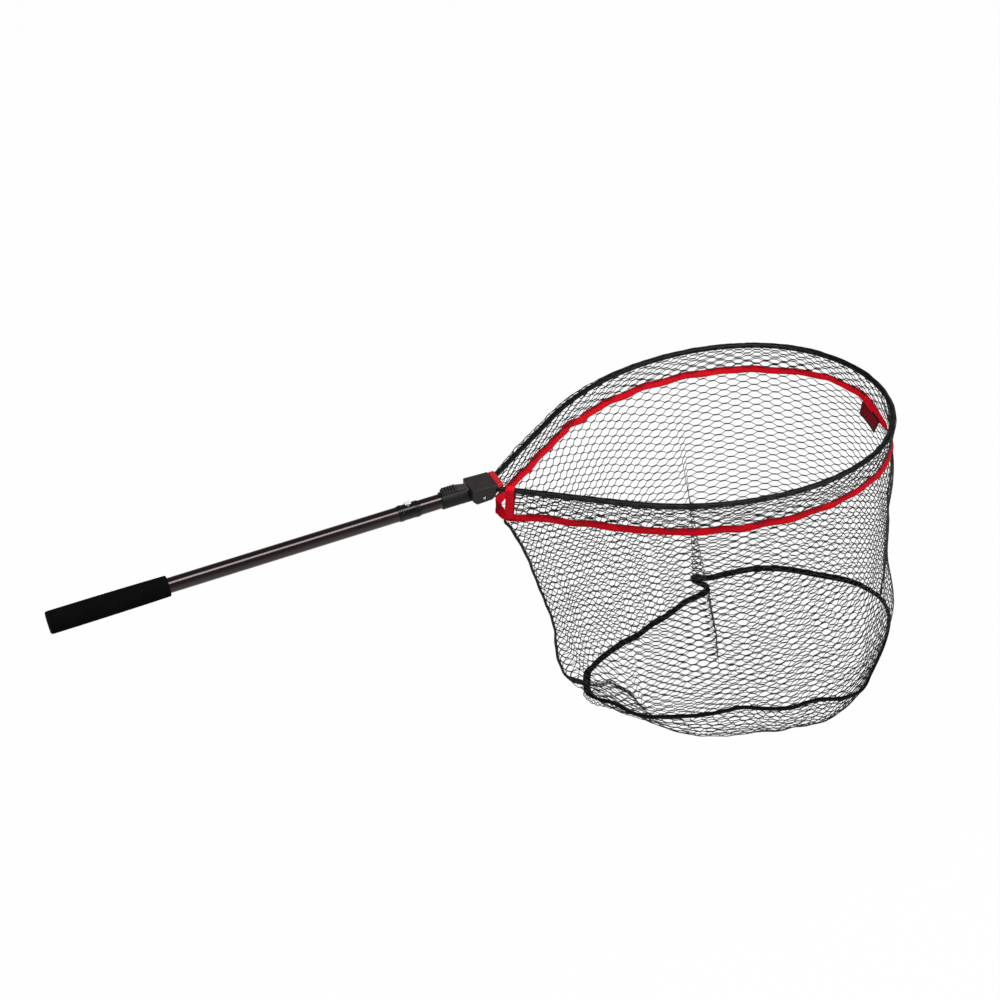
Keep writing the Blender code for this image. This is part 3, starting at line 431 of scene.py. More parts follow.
# Inner tube, its rear bush and the neck: the inner tube slides in the outer one, guided by a rubber bush.
# The neck is a short sleeve as thick as the outer tube, glued on the inner tube where it leaves the collar.
inner_rear, neck_rear, neck_front = -0.0148, 0.4588, 0.5084
inner_radius, telescope_travel = 0.0088, 0.38
inner = pipe("sliding_tube", inner_rear, neck_front, inner_radius - tube_wall, inner_radius)
carved(inner, [bar((x, 0, 0), upright, stem_hole_radius, length=0.0091, look=tube_look)
               for x in (button_x, button_x - telescope_travel)])
fitted(inner, "extension", "inner_tube")
neck = pipe("neck_sleeve", neck_rear, neck_front, inner_radius + fit_gap, tube_radius)
fitted(neck, "extension", "neck_tube")
dress("rear_bush", rubber_look)


# Hinge socket: a black moulding on the neck, flat on top for the thumb slider, with a slot for the bolt
# and a tongue in front that turns on the hinge pin. A grub screw from below holds it on the neck.
def evened(made):
    """Weighs a piece's normals by face area, so that flat faces stay flat between rounded edges."""
    made.modifiers.new("even", "WEIGHTED_NORMAL").keep_sharp = True
    return plain(made)


def moulded(name, dark, light):
    """A moulded plastic, cloudy between two colours, with a fine even grain."""
    return clouded(name, {"Specular IOR Level": 0.2}, (70, 5.0), dark, light, (0.15, 0.42),
                   (1500, 0.15, 0.0001))


moulding_look = moulded("black_moulding", (0.004, 0.004, 0.0042), (0.009, 0.009, 0.0092))
crosswise = Matrix.Rotation(math.pi / 2, 4, "Z")
downward = Matrix.Rotation(math.pi / 2, 4, "Y")
socket_rear, socket_front = 0.4919, 0.5319
socket_radius, socket_bore = 0.013, 0.0113
hinge_x, hinge_z = 0.5526, -0.0042
slide_flat, above = 0.0113, 0.03
slot_rear, slot_floor = 0.5105, 0.0059
pin_bore_radius = 0.0028
socket_line = rounded([(socket_front, 0), (socket_front, socket_radius), (socket_rear, socket_radius),
                       (socket_rear, socket_bore)], radius=0.0015, steps=5)
seat = neck_front + fit_gap
socket = turned("hinge_body", [*socket_line, (seat, socket_bore), (seat, 0)], moulding_look, sides=96)
tongue_radius, tongue_top, tongue_rear = 0.008, 0.0056, socket_front - 0.0097
tongue_round = [(hinge_x + tongue_radius * math.cos(math.radians(a)),
                 hinge_z + tongue_radius * math.sin(math.radians(a))) for a in range(-90, 61, 10)]
tongue_side = [(tongue_rear, hinge_z - tongue_radius), *tongue_round, (socket_front + 0.0103, tongue_top),
               (tongue_rear, tongue_top)]
tongue = slab("tongue", tongue_side, width=0.0124, look=moulding_look, edge=0.0006)
carved(socket, [tongue], "UNION")
flat_along = (socket_rear - 0.002, socket_front + 0.002)
flat = brick("flat", flat_along, (slide_flat, above), width=0.04, look=moulding_look)
slot = brick("slot", (slot_rear, hinge_x), (slot_floor, above), width=0.0086, look=moulding_look)
pin_bore = bar((hinge_x, -0.015, hinge_z), crosswise, pin_bore_radius, length=0.03, look=moulding_look,
               sides=40)
grub_hole = bar((0.50015, 0, -0.0108), downward, radius=0.0023, length=0.01, look=moulding_look)
carved(socket, [flat, slot, pin_bore, grub_hole])
fitted(evened(socket), "extension", "hinge_socket")
dress("socket_grub_screw", steel_look)


# Thumb slider: a black wedge that rides on the socket's flat, with half-round ribs across its rear.
# The steel latch bolt hangs under it in the slot, and its nose reaches below the yoke's top.
def tree_of(name, inputs):
    """A new Geometry Nodes tree with inputs of (label, kind): the tree and its inputs' sockets."""
    tree = bpy.data.node_groups.new(name, "GeometryNodeTree")
    for label, kind in (("Geometry", "Geometry"), *inputs, ("Material", "Material")):
        tree.interface.new_socket(label, in_out="INPUT", socket_type="NodeSocket" + kind)
    tree.interface.new_socket("Geometry", in_out="OUTPUT", socket_type="NodeSocketGeometry")
    return tree, tree.nodes.new("NodeGroupInput").outputs


def step(tree, kind, sockets, settings=()):
    """The output of one new node of a tree, from its settings and the values or links of its sockets."""
    node = tree.nodes.new(kind)
    for key, value in settings:
        setattr(node, key, value)
    for key, value in sockets.items():
        for item in value if isinstance(value, list) else [value]:
            if isinstance(item, bpy.types.NodeSocket):
                tree.links.new(item, node.inputs[key])
            else:
                node.inputs[key].default_value = item
    return node.outputs[0]


def end_tree(tree, made, look):
    """Ends a tree in Realize Instances and Set Material."""
    real = step(tree, "GeometryNodeRealizeInstances", {"Geometry": made})
    dressed = step(tree, "GeometryNodeSetMaterial", {"Geometry": real, "Material": look})
    tree.links.new(dressed, tree.nodes.new("NodeGroupOutput").inputs[0])


def grown(made, tree, values):
    """Runs a tree on a piece with its named inputs, and leaves the result as the piece's plain mesh."""
    change = made.modifiers.new("grow", "NODES")
    change.node_group = tree
    for item in tree.interface.items_tree:
        if item.in_out == "INPUT" and item.name in values:
            change[item.identifier] = values[item.name]
    return plain(made)


rib_tree, rib_in = tree_of("Half-round ribs", [("Count", "Int"), ("Pitch", "Float"), ("Radius", "Float"),
                                               ("Length", "Float"), ("First", "Vector")])
rib_step = step(rib_tree, "ShaderNodeCombineXYZ", {0: rib_in["Pitch"]})
rib_row = step(rib_tree, "GeometryNodeMeshLine", {
    "Count": rib_in["Count"], "Start Location": rib_in["First"], "Offset": rib_step}, [("mode", "OFFSET")])
rib_bar = step(rib_tree, "GeometryNodeMeshCylinder", {
    "Vertices": 12, "Radius": rib_in["Radius"], "Depth": rib_in["Length"]})
rib_set = step(rib_tree, "GeometryNodeInstanceOnPoints", {
    "Points": rib_row, "Instance": rib_bar, "Rotation": (math.pi / 2, 0.0, 0.0)})
rib_all = step(rib_tree, "GeometryNodeJoinGeometry", {0: [rib_in["Geometry"], rib_set]})
end_tree(rib_tree, rib_all, rib_in["Material"])
round_tree, round_in = tree_of("Round stock along a route", [("Radius", "Float"), ("Sides", "Int")])
round_route = step(round_tree, "GeometryNodeMeshToCurve", {"Mesh": round_in["Geometry"]})
round_ring = step(round_tree, "GeometryNodeCurvePrimitiveCircle", {
    "Resolution": round_in["Sides"], "Radius": round_in["Radius"]})
round_stock = step(round_tree, "GeometryNodeCurveToMesh", {
    "Curve": round_route, "Profile Curve": round_ring, "Fill Caps": True})
round_smooth = step(round_tree, "GeometryNodeSetShadeSmooth", {"Geometry": round_stock})
end_tree(round_tree, round_smooth, round_in["Material"])


def stranded(name, routes, radius, sides, look):
    """Round stock along each of a list of routes, each an array of points in the row frame."""
    points = np.concatenate(routes)
    edges = []
    first = 0
    for route in routes:
        edges += [(i, i + 1) for i in range(first, first + len(route) - 1)]
        first += len(route)
    mesh = bpy.data.meshes.new(name)
    mesh.from_pydata(points.tolist(), edges, [])
    return grown(placed(name, mesh), round_tree, {"Radius": radius, "Sides": sides, "Material": look})


def wave(shade, along, pitch):
    """An even wave from 0 to 1 along a coordinate."""
    return shade.math("SINE", along * (math.tau / pitch)) * 0.5 + 0.5


slider_floor, slider_length, slider_top = 0.0116, 0.0375, 0.0052
slider_rear = socket_front - slider_length - fit_gap
slider_side = [(0, 0), (slider_length, 0), (slider_length, 0.0016), (0.0215, slider_top),
               (0.0030, slider_top), (0, 0.0026)]
rib_count, rib_pitch, rib_radius, first_rib = 5, 0.0043, 0.0013, slider_rear + 0.0038
slider_look, slider_surface, slider_shade = finish("ribbed_moulding", {"Specular IOR Level": 0.25})
slider_place = slider_shade.coordinates("Object")
slider_along = slider_place.axis("X")
# The grooves between the ribs are painted dark as painted shade; the rib crests and the plain front keep the
# lighter tone.
rib_wave = wave(slider_shade, slider_along - (first_rib - rib_pitch / 4), rib_pitch)
past_ribs = slider_shade.math("GREATER_THAN", slider_along, first_rib + (rib_count - 0.5) * rib_pitch)
painted_groove_shade = slider_shade.math("MAXIMUM", rib_wave, past_ribs)
two_tone(slider_shade, painted_groove_shade, (0.002, 0.002, 0.0022), (0.036, 0.029, 0.033)).into(slider_surface, "Base Color")
(speckle(slider_shade, slider_place, 70, 5.0) * 0.15 + 0.42).into(slider_surface, "Roughness")
relief(slider_shade, speckle(slider_shade, slider_place, 1500), 0.15, 0.0001).into(slider_surface, "Normal")
slider_outline = [(slider_rear + x, slider_floor + z) for x, z in slider_side]
slider = slab("thumb_wedge", slider_outline, width=0.014, look=slider_look, edge=0.0006)
grown(slider, rib_tree, {"Count": rib_count, "Pitch": rib_pitch, "Radius": rib_radius, "Length": 0.0126,
                         "First": (first_rib, 0.0, slider_floor + slider_top), "Material": slider_look})
smoothed(slider.data)
fitted(evened(slider), "slider", "thumb_slider")
dress("latch_bolt", steel_look)

# Latch spring: five turns of steel wire behind the bolt, loose in the socket's slot. It is pressed together
# as the slider is drawn back.
spring_rear, spring_front, spring_z = slot_rear + fit_gap, slot_rear + 0.0111, slot_floor + 0.0027
spring_turns, spring_radius, wire_radius = 5, 0.00215, 0.00025
spring_share = np.linspace(0, 1, 121)
spring_angle = math.tau * spring_turns * spring_share
spring_points = np.column_stack([
    spring_rear + wire_radius + (spring_front - spring_rear - 2 * wire_radius) * spring_share,
    spring_radius * np.cos(spring_angle), spring_z + spring_radius * np.sin(spring_angle)])
latch_coil = stranded("latch_coil", [spring_points], wire_radius, sides=8, look=steel_look)
fitted(latch_coil, "extension", "latch_spring")
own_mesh(latch_coil)

# Yoke: a charcoal moulded block that takes the hoop's two ends, open below for the socket's tongue.
# It turns on the hinge pin and hangs level with the handle when it is latched.
droop = math.radians(2.35)
head_place = Matrix.Translation((hinge_x, 0, hinge_z)) @ Matrix.Rotation(droop, 4, "Y")
yoke_look = moulded("charcoal_moulding", (0.019, 0.0145, 0.0150), (0.030, 0.0235, 0.0240))
yoke_top, yoke_bottom, brow_floor = 0.0168, -0.0082, 0.0102
yoke_rear, yoke_front, yoke_brow = -0.0177, 0.0182, 0.0212
yoke_side = [(yoke_rear, yoke_top), (yoke_rear, yoke_bottom + 0.006), (yoke_rear + 0.006, yoke_bottom),
             (yoke_front - 0.006, yoke_bottom + 0.002), (yoke_front, yoke_bottom + 0.007),
             (yoke_front, brow_floor), (yoke_brow, brow_floor), (yoke_brow, yoke_top)]
yoke = slab("hoop_yoke", yoke_side, width=0.040, look=yoke_look, edge=0.0022)
rod_y, hoop_height = 0.01335, 0.0053
bores = [brick("channel", (-0.04, 0.05), (-0.03, 0.0133), width=0.0134, look=yoke_look),
         bar((0, -0.04, 0), crosswise, pin_bore_radius, length=0.08, look=yoke_look, sides=40)]
screw_line = [(0, 0), (0, 0.0031), (0.0159, 0.0031), (0.0159, 0.0018), (0.0253, 0.0018), (0.0253, 0)]
for side in (-1, 1):
    rod_end = (yoke_front - 0.0093, side * rod_y, hoop_height)
    bores.append(bar(rod_end, Matrix.Identity(4), radius=0.0043, length=0.02, look=yoke_look, sides=40))
    screw_place = Matrix.Translation((yoke_front - 0.0045, side * rod_y, -0.02)) @ upright
    bores.append(turned("screw_hole", screw_line, yoke_look, sides=32, place=screw_place))
evened(carved(yoke, bores)).data.transform(head_place)
fitted(yoke, "head", "yoke")

# Front plate: a satin red bar clipped to the yoke's brow, above the hoop's ends.
# It is moulded in coloured plastic, with its edges rounded all round.
red_look = clouded("satin_red_moulding", {"Specular IOR Level": 0.4}, (110, 4.0), (0.40, 0.007, 0.015),
                   (0.48, 0.010, 0.021), (0.12, 0.30), (1600, 0.12, 0.0001))
plate_along, plate_up = (yoke_brow + fit_gap, yoke_brow + 0.0094), (brow_floor, yoke_top - fit_gap)
plate = brick("red_brow", plate_along, plate_up, width=0.0376, look=red_look, edge=0.0011, place=head_place)
fitted(evened(plate), "head", "yoke_front_plate")

# Hinge pin and hoop screws: a plain steel pin through both cheeks and the socket's tongue, its ends domed,
# and a screw below each end of the hoop's rod.
pin_half = 0.0204
pin_end = [(pin_half - 0.0013, 0.0025), (pin_half - 0.0007, 0.0022), (pin_half - 0.0002, 0.0014),
           (pin_half, 0)]
pin_line = [(-x, radius) for x, radius in reversed(pin_end)] + pin_end
pin = turned("cross_pin", pin_line, steel_look, sides=40, place=head_place @ crosswise)
fitted(pin, "head", "hinge_pin")
for screw in ("hoop_screw_near", "hoop_screw_far"):
    dress(screw, steel_look)


# Hoop: one black-coated aluminium rod, bent from the far cheek round the tip and back to the near cheek.
# Its two ends sit in the yoke's bores. The coat is satin, with a fine powdery grain.
def walk(start, heading, steps, pitch=0.004):
    """Points and headings along straight runs ("run", length) and arcs ("arc", radius, turn)."""
    x, y = start
    line = [(x, y, heading, 0.0)]
    for kind, *values in steps:
        turn = values[1] if kind == "arc" else 0.0
        length = values[0] * abs(turn) if kind == "arc" else values[0]
        count = max(3, round(length / pitch))
        for _ in range(count):
            heading += turn / count / 2
            x += length / count * math.cos(heading)
            y += length / count * math.sin(heading)
            heading += turn / count / 2
            line.append((x, y, heading, line[-1][3] + length / count))
    return line


rim_place = head_place @ Matrix.Translation((yoke_front, 0, hoop_height))
rim_turn = np.array(rim_place.to_3x3())
rim_origin = np.array(rim_place.translation)


def in_row(points):
    """Points in the hoop's own plane and axes, in metres, brought into the row frame."""
    return np.asarray(points) @ rim_turn.T + rim_origin


rod_radius = 0.004
arm_angle = math.radians(38.1)
arm_bend, arm_length, shoulder_radius, side_radius = 0.0173, 0.185, 0.384, 0.310
side_turn = math.radians(24.4)
arm_x = arm_bend * math.sin(arm_angle)
arm_y = rod_y + arm_bend * (1 - math.cos(arm_angle))
tip_half = arm_y + arm_length * math.sin(arm_angle) + shoulder_radius * (1 - math.cos(arm_angle))
tip_half -= side_radius * (1 - math.cos(side_turn))
hoop_bends = [("run", arm_length), ("arc", shoulder_radius, -arm_angle), ("arc", side_radius, -side_turn),
              ("arc", tip_half / math.cos(side_turn), side_turn - math.pi / 2)]
rod_far = np.array(walk((-0.009, rod_y), 0.0, [("run", 0.009), ("arc", arm_bend, arm_angle)] + hoop_bends))
rod_near = rod_far[-2::-1] * (1, -1, 1, 1)
rod_line = np.concatenate([rod_far, rod_near])
rod_points = np.column_stack([rod_line[:, 0], rod_line[:, 1], np.zeros(len(rod_line))])
hoop_look = clouded("satin_black_coat", {"Specular IOR Level": 0.14}, (45, 4.0), (0.002, 0.002, 0.0022),
                    (0.0045, 0.0045, 0.0048), (0.15, 0.32), (1300, 0.15, 0.0001))
rod = stranded("hoop_rod", [in_row(rod_points)], rod_radius, sides=20, look=hoop_look)
fitted(rod, "head", "hoop_frame")

# The bag's shape: its rim runs under the hoop and closes in a small nose below the yoke's brow, and the
# binding round its base is a slack kite that hangs nearer the camera. The wall between them draws in,
# swells over the binding and has one pleat on the far side, where the slack is folded back on itself.
nose_radius = 0.024
nose_x = arm_x - arm_y / math.tan(arm_angle) + nose_radius / math.sin(arm_angle) - nose_radius
nose_run = arm_y / math.sin(arm_angle) - nose_radius / math.tan(arm_angle)
rim_half = np.array(walk((nose_x, 0.0), math.pi / 2, [
    ("arc", nose_radius, arm_angle - math.pi / 2), ("run", arm_length + nose_run), *hoop_bends[1:]], 0.003))
rim_share = rim_half[:, 3] / rim_half[-1, 3] / 2
rim_length = 2 * rim_half[-1, 3]


def rim_at(t):
    """The rim's points and outward normals for t: 0 at the nose, on by the far side, 0.5 at the tip, to 1."""
    t = np.mod(t, 1.0)
    near = t > 0.5
    reach = np.where(near, 1 - t, t)
    x, y, heading = (np.interp(reach, rim_share, rim_half[:, i]) for i in range(3))
    flip = np.where(near, -1.0, 1.0)
    return x, y * flip, -np.sin(heading), np.cos(heading) * flip


def over(rim_x, side):
    """The t of the rim's point at rim_x, on the far side (1) or the near side (-1)."""
    reach = float(np.interp(rim_x / 1000, rim_half[:, 0], rim_share))
    return reach if side > 0 else 1 - reach


far_hang = [(4, 131, -24), (24, 144, 2), (50, 157, 14), (85, 177, 30), (135, 222, 50), (255, 296, 74),
            (392, 392, 112), (437, 440, 139), (465, 476, 147), (497, 511, 141), (540, 556, 116),
            (603, 619, 58), (634, 655, 8)]
near_hang = [(641.5, 666, -24), (636, 659, -58), (585, 603, -137), (522, 543, -195), (485, 514, -218),
             (452, 480, -222), (400, 436, -207), (360, 397, -204), (320, 360, -190), (285, 330, -177),
             (240, 294, -171), (195, 252, -160), (130, 190, -132), (95, 172, -109), (60, 153, -75),
             (30, 134, -57), (14, 128, -42)]
hang = [(over(rim_x, 1), x, y) for rim_x, x, y in far_hang]
hang += [(over(rim_x, -1), x, y) for rim_x, x, y in near_hang]
looped = [(t - 1, x, y) for t, x, y in hang[-2:]] + hang + [(t + 1, x, y) for t, x, y in hang[:2]]
hang_t = np.array([t for t, _, _ in looped])
hang_xy = np.array([(x, y) for _, x, y in looped]) / 1000


def smooth(edge0, edge1, value):
    """0 below edge0, 1 above edge1 and a soft step between them."""
    s = np.clip((value - edge0) / (edge1 - edge0), 0, 1)
    return s * s * (3 - 2 * s)


def through(t, stops, values):
    """A soft curve through values at their stops."""
    slopes = np.gradient(values, stops, axis=0)
    i = np.clip(np.searchsorted(stops, t, side="right") - 1, 0, len(stops) - 2)
    span = stops[i + 1] - stops[i]
    s = np.clip((t - stops[i]) / span, 0, 1)[..., None]
    span = span[..., None]
    start = values[i] * (1 + 2 * s) + slopes[i] * s * span
    end = values[i + 1] * (3 - 2 * s) - slopes[i + 1] * (1 - s) * span
    return start * (1 - s) ** 2 + end * s**2


def base_at(t):
    """The base binding's line as (x, y) for t round the bag, without the pleat."""
    return through(np.mod(t, 1.0), hang_t, hang_xy)


pleat_moves = [(250, 0, 0, 0), (300, 0, 0, 0), (345, 18, 11, 0), (385, 36, 10.5, 0), (415, -12, 19, 11),
               (440, -9, 3, 6), (475, 0, 0, 0), (500, 0, 0, 0)]
pleat_stops = np.array([over(move[0], 1) for move in pleat_moves])
pleat_steps = np.array([move[1:] for move in pleat_moves]) / 1000


def base_line(t):
    """The binding's line with the pleat folded into it, and a little play up and down, as (x, y, z)."""
    spot = base_at(t)
    fold = through(np.mod(t, 1.0), pleat_stops, pleat_steps)
    z = base_z + 0.0022 * np.sin(t * 31.0 + 0.8) + 0.0016 * np.sin(t * 73.0) + fold[..., 2]
    return np.stack([spot[..., 0] + fold[..., 0], spot[..., 1] + fold[..., 1], z], -1)


band_z, base_z = -0.044, -0.411
wall_top = band_z - 0.004


def sway(a, b, seed):
    """Even, repeatable unevenness between -1 and 1."""
    return (np.sin(0.83 * a + 1.71 * b + seed) + np.sin(2.31 * a - 0.77 * b + 2.1 * seed)
            + np.sin(0.37 * a + 2.93 * b + 3.7 * seed)) / 3


def hump(value, middle, width):
    """1 at the middle, fading out about two widths away."""
    return np.exp(-(((value - middle) / width) ** 2))


def wall_at(t, v, stand=0.0):
    """The bag's wall for t round it and v from the band (0) to the binding (1), stood off outwards."""
    t = t + 0.042 * (1 - smooth(0.5, 1, v)) * hump(np.mod(t, 1.0), 0.5, 0.2)
    x, y, out_x, out_y = rim_at(t)
    low = base_line(t)
    flat = base_at(t)
    draw = v + 0.08 * np.sin(math.pi * v)
    turn = np.mod(t, 1.0)
    rear = np.maximum(-out_x, 0) ** 2
    tip = np.maximum(out_x, 0) ** 2
    near_tip = hump(turn, 0.545, 0.035)
    swell = v**6 * (1 - v) / 0.0567
    low_swell = v**8 * (1 - v) / 0.0433
    top_swell = hump(v, 0.13, 0.15) * smooth(0, 0.1, v)
    middle = np.sin(math.pi * v)
    tucked = 0.020 * hump(np.minimum(turn, 1 - turn), 0, 0.012) * (1 - smooth(0, 0.07, v))
    bulge = rear * (0.028 * swell - 0.009 * top_swell) + tip * (0.008 * top_swell - 0.006 * middle)
    bulge = bulge + 0.009 * near_tip * low_swell + 0.003 * sway(t * 60, v * 7, 1.3) * middle - tucked
    low_xy = flat + (low[..., :2] - flat) * np.asarray(0.4 + 0.6 * v)[..., None]
    spot_x = x + (low_xy[..., 0] - x) * draw + out_x * (bulge + stand)
    spot_y = y + (low_xy[..., 1] - y) * draw + out_y * (bulge + stand)
    spot_z = wall_top + (low[..., 2] - wall_top) * v
    return np.stack([spot_x, spot_y, spot_z], -1)


# Net: knotless black mesh of flat-topped hexagons, coated so that hooks come out of it. Each strand runs
# up and down from column to column, and two strands lie side by side along each level edge of a cell.
net_look = clouded("coated_mesh", {"Specular IOR Level": 0.25}, (60, 4.0), (0.006, 0.0055, 0.006),
                   (0.014, 0.0125, 0.014), (0.2, 0.38), (1700, 0.4, 0.0002))
strand_radius, strand_sides = 0.00058, 5
half_columns, column_shrink = 53, 0.756
cell_row, level_share = 0.0123, 0.56
beside = strand_radius / cell_row


def cells(first_column, last_column, first_row, last_row):
    """The strands of a stretch of mesh, each an array of (column, row) places."""
    inset = (1 - level_share) / 2
    strands = []
    for row in range(first_row, last_row + 1):
        for leaves in (1, -1):
            if (row == last_row and leaves > 0) or (row == first_row and leaves < 0):
                continue
            line = []
            for column in range(first_column, last_column):
                odd = column % 2
                level = row + leaves * (0.5 * odd + beside * (1 - 2 * odd))
                line += [(column + inset, level), (column + 0.5, level), (column + 1 - inset, level)]
            line[0] = (first_column, line[0][1])
            line[-1] = (last_column, line[-1][1])
            strands.append(np.array(line))
    return strands


def column_t(column):
    """The t of a column of cells, counted from the nose by the far side; cells narrow towards the tip."""
    from_nose = np.minimum(column, 2 * half_columns - column) / half_columns
    share = (1 - column_shrink**from_nose) / (1 - column_shrink) / 2
    return np.where(column > half_columns, 1 - share, share)


def bag_piece(made, node):
    """Hangs a soft piece on the head, in place of a solid of the frame, with a mesh of its own."""
    fitted(made, "head", node)
    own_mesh(made)


def side_net(name, first, columns, rows, node):
    """One side's net, from the nose to the tip (first 0) or from the tip to the nose (first half_columns)."""
    play = 0.05
    routes = []
    for strand in cells(0, columns, 0, rows):
        column, row = strand[:, 0], strand[:, 1]
        ends = np.sin(math.pi * column / columns) ** 2
        place = column + play * sway(column, row, 0.4 + first) * np.minimum(1, 4 * ends)
        t = column_t(first + place * half_columns / columns)
        v = np.clip((row + play * sway(column, row, 2.2)) / rows, 0, 1)
        routes.append(in_row(wall_at(t, v)))
    bag_piece(stranded(name, routes, strand_radius, strand_sides, net_look), node)


side_net("mesh_side_far", 0, 56, 31, "side_net_far")
side_net("mesh_side_near", half_columns, 50, 28, "side_net_near")


# Sleeve: the same mesh doubled over the hoop, from the yoke round to the strap. It comes up from the red
# band, hugs the rod with two selvedge threads on top, and goes down inside to the band's upper edge.
def reach_along(points):
    """How far along a line each of its points lies."""
    return np.concatenate([[0], np.cumsum(np.linalg.norm(np.diff(points, axis=0), axis=1))])


sleeve_line = np.array([(0.9, -39), (1.5, -30), (3.4, -12), (4.5, -4), (4.8, 0.5), (3.6, 3.6), (0.5, 4.9),
                        (-3.3, 3.6), (-4.7, 0.0), (-4.0, -12), (-2.0, -30), (-0.9, -39)]) / 1000
sleeve_reach = reach_along(sleeve_line)
sleeve_rows, sleeve_play = 8, 0.08


def sleeve_at(t, share):
    """A point of the sleeve for t round the hoop and its share of the way from outside to inside."""
    reach = share * sleeve_reach[-1]
    stand = np.interp(reach, sleeve_reach, sleeve_line[:, 0])
    z = np.interp(reach, sleeve_reach, sleeve_line[:, 1])
    slack = 0.0022 * smooth(0.02, 0.06, t) * (1 - smooth(0.16, 0.26, t))
    slack = slack + 0.0007 * sway(t * 90, share * 2, 0.9)
    outside = smooth(-0.012, 0.002, z) * smooth(-0.002, 0.003, stand)
    x, y, out_x, out_y = rim_at(t)
    stand = stand + slack * outside
    return np.stack([x + out_x * stand, y + out_y * stand, z + 0.6 * slack * outside], -1)


sleeve_routes = []
for strand in cells(1, 2 * half_columns - 2, 0, sleeve_rows):
    column, row = strand[:, 0], strand[:, 1]
    share = np.clip((row + sleeve_play * sway(column, row, 5.1)) / sleeve_rows, 0, 1)
    sleeve_t = column_t(column + sleeve_play * sway(column, row, 4.4))
    sleeve_routes.append(in_row(sleeve_at(sleeve_t, share)))
sleeve_ends = column_t(np.array([1.0, 2 * half_columns - 1.6]))
for thread, start in ((0.43, 0.0), (0.50, 0.0), (0.40, 0.80)):
    t = np.linspace(max(start, sleeve_ends[0]), sleeve_ends[1], 8 * half_columns)
    sleeve_routes.append(in_row(sleeve_at(t, thread + 0.010 * sway(t * 200, t * 90, 1.1 + 9 * thread))))
sleeve = stranded("mesh_sleeve", sleeve_routes, strand_radius, strand_sides, net_look)
bag_piece(sleeve, "upper_net")


# Red band: a woven polyester tape, twelve millimetres wide, sewn to the mesh below the hoop all the way
# round. It ripples a little between its stitches, and a slack stretch on the far side is kinked.
def tape(name, middles, across, out, width, thickness, look, closed):
    """A flat tape along its middles, with its width and outward directions, and UVs in metres."""
    middles, across, out = in_row(middles), across @ rim_turn.T, out @ rim_turn.T
    half, lip = width / 2, min(thickness, width / 6)
    ring = [(-half, 0), (-half + lip, 0.5), (-half / 3, 0.5), (half / 3, 0.5), (half - lip, 0.5), (half, 0),
            (half - lip, -0.5), (half / 3, -0.5), (-half / 3, -0.5), (-half + lip, -0.5)]
    count, sides = len(middles), len(ring)
    points = np.stack([middles + across * a + out * thickness * b for a, b in ring], 1).reshape(-1, 3)
    reach = reach_along(middles)
    faces, marks = [], []
    for i in range(count if closed else count - 1):
        j = (i + 1) % count
        end = reach[j] if j else reach[-1] + np.linalg.norm(middles[0] - middles[-1])
        for k in range(sides):
            m = (k + 1) % sides
            faces.append((i * sides + k, i * sides + m, j * sides + m, j * sides + k))
            low, high = ring[k][0], ring[m][0]
            marks += [(reach[i], low), (reach[i], high), (end, high), (end, low)]
    if not closed:
        faces += [tuple(range(sides)), tuple((count - 1) * sides + k for k in range(sides))]
        marks += [(0, a) for a, _ in ring] + [(reach[-1], a) for a, _ in ring]
    mesh = bpy.data.meshes.new(name)
    mesh.from_pydata(points.tolist(), [], faces)
    layer = mesh.uv_layers.new(name="UVMap")
    layer.data.foreach_set("uv", np.array(marks, float).ravel())
    shape = bmesh.new()
    shape.from_mesh(mesh)
    bmesh.ops.recalc_face_normals(shape, faces=shape.faces)
    shape.to_mesh(mesh)
    shape.free()
    mesh.materials.append(look)
    smoothed(mesh, 70)
    return placed(name, mesh)


def unit(vectors):
    return vectors / np.linalg.norm(vectors, axis=-1, keepdims=True)


def round_run(points):
    """The directions along a closed line."""
    return unit(np.roll(points, -1, 0) - np.roll(points, 1, 0))


def woven(name, dark, light, specular):
    """A tape's finish: fine ribs across it and threads along it, from its UVs in metres."""
    look, surface, shade = finish(name, {"Specular IOR Level": specular})
    place = shade.coordinates("UV")
    along, across = place.axis("X"), place.axis("Y")
    cloth = wave(shade, along, 0.0011) * 0.6 + wave(shade, across, 0.0009) * 0.4
    notch = wave(shade, along + across * 0.7, 0.0085) ** 10.0
    wear = speckle(shade, shade.coordinates("Object"), 150, 4.0)
    tone = cloth * 0.25 + wear * 0.25 + 0.5 - notch * wear * 0.6
    two_tone(shade, tone, dark, light).into(surface, "Base Color")
    (wear * 0.2 + 0.6).into(surface, "Roughness")
    relief(shade, cloth - notch * 0.8, 0.5, 0.0003).into(surface, "Normal")
    return look


red_tape_look = woven("red_woven_tape", (0.25, 0.0014, 0.005), (0.66, 0.0038, 0.0142), 0.07)
band_t = np.arange(520) / 520
band_width, band_thickness = 0.0117, 0.0012
kink = (band_t - over(208, 1)) / 0.010
kink_move = 0.008 * np.sin(kink * 1.6) * np.exp(-(kink**2) * 0.7)
ripple = 0.0011 * sway(band_t * 105, band_t * 40, 0.2)
strap_t = 1 - 0.032 / rim_length
strap_drop = 0.005 * hump(band_t, strap_t + 0.003, 0.013)
tip_stops = (0.40, 0.43, 0.44, 0.452, 0.466, 0.48, 0.49, 0.505, 0.525, 0.54, 0.56)
tip_rises = (0, 7.5, 8, 5.5, 8.2, 8.6, 7.5, 3, -3, -4, 0)
tip_draws = (0, 3, 3, 3, 3, 3, 4, 4.5, 3, 1, 0)
drawn_in = 0.0055 * hump(np.minimum(band_t, 1 - band_t), 0, 0.016)
drawn_in += np.interp(band_t, tip_stops, tip_draws) / 1000
band_x, band_y, band_out_x, band_out_y = rim_at(band_t)
band_stand = ripple - kink_move - drawn_in
band_rise = np.interp(band_t, tip_stops, tip_rises) / 1000 - strap_drop + 0.3 * kink_move
band_rise += 0.0013 * sway(band_t * 82, band_t * 33, 1.9)
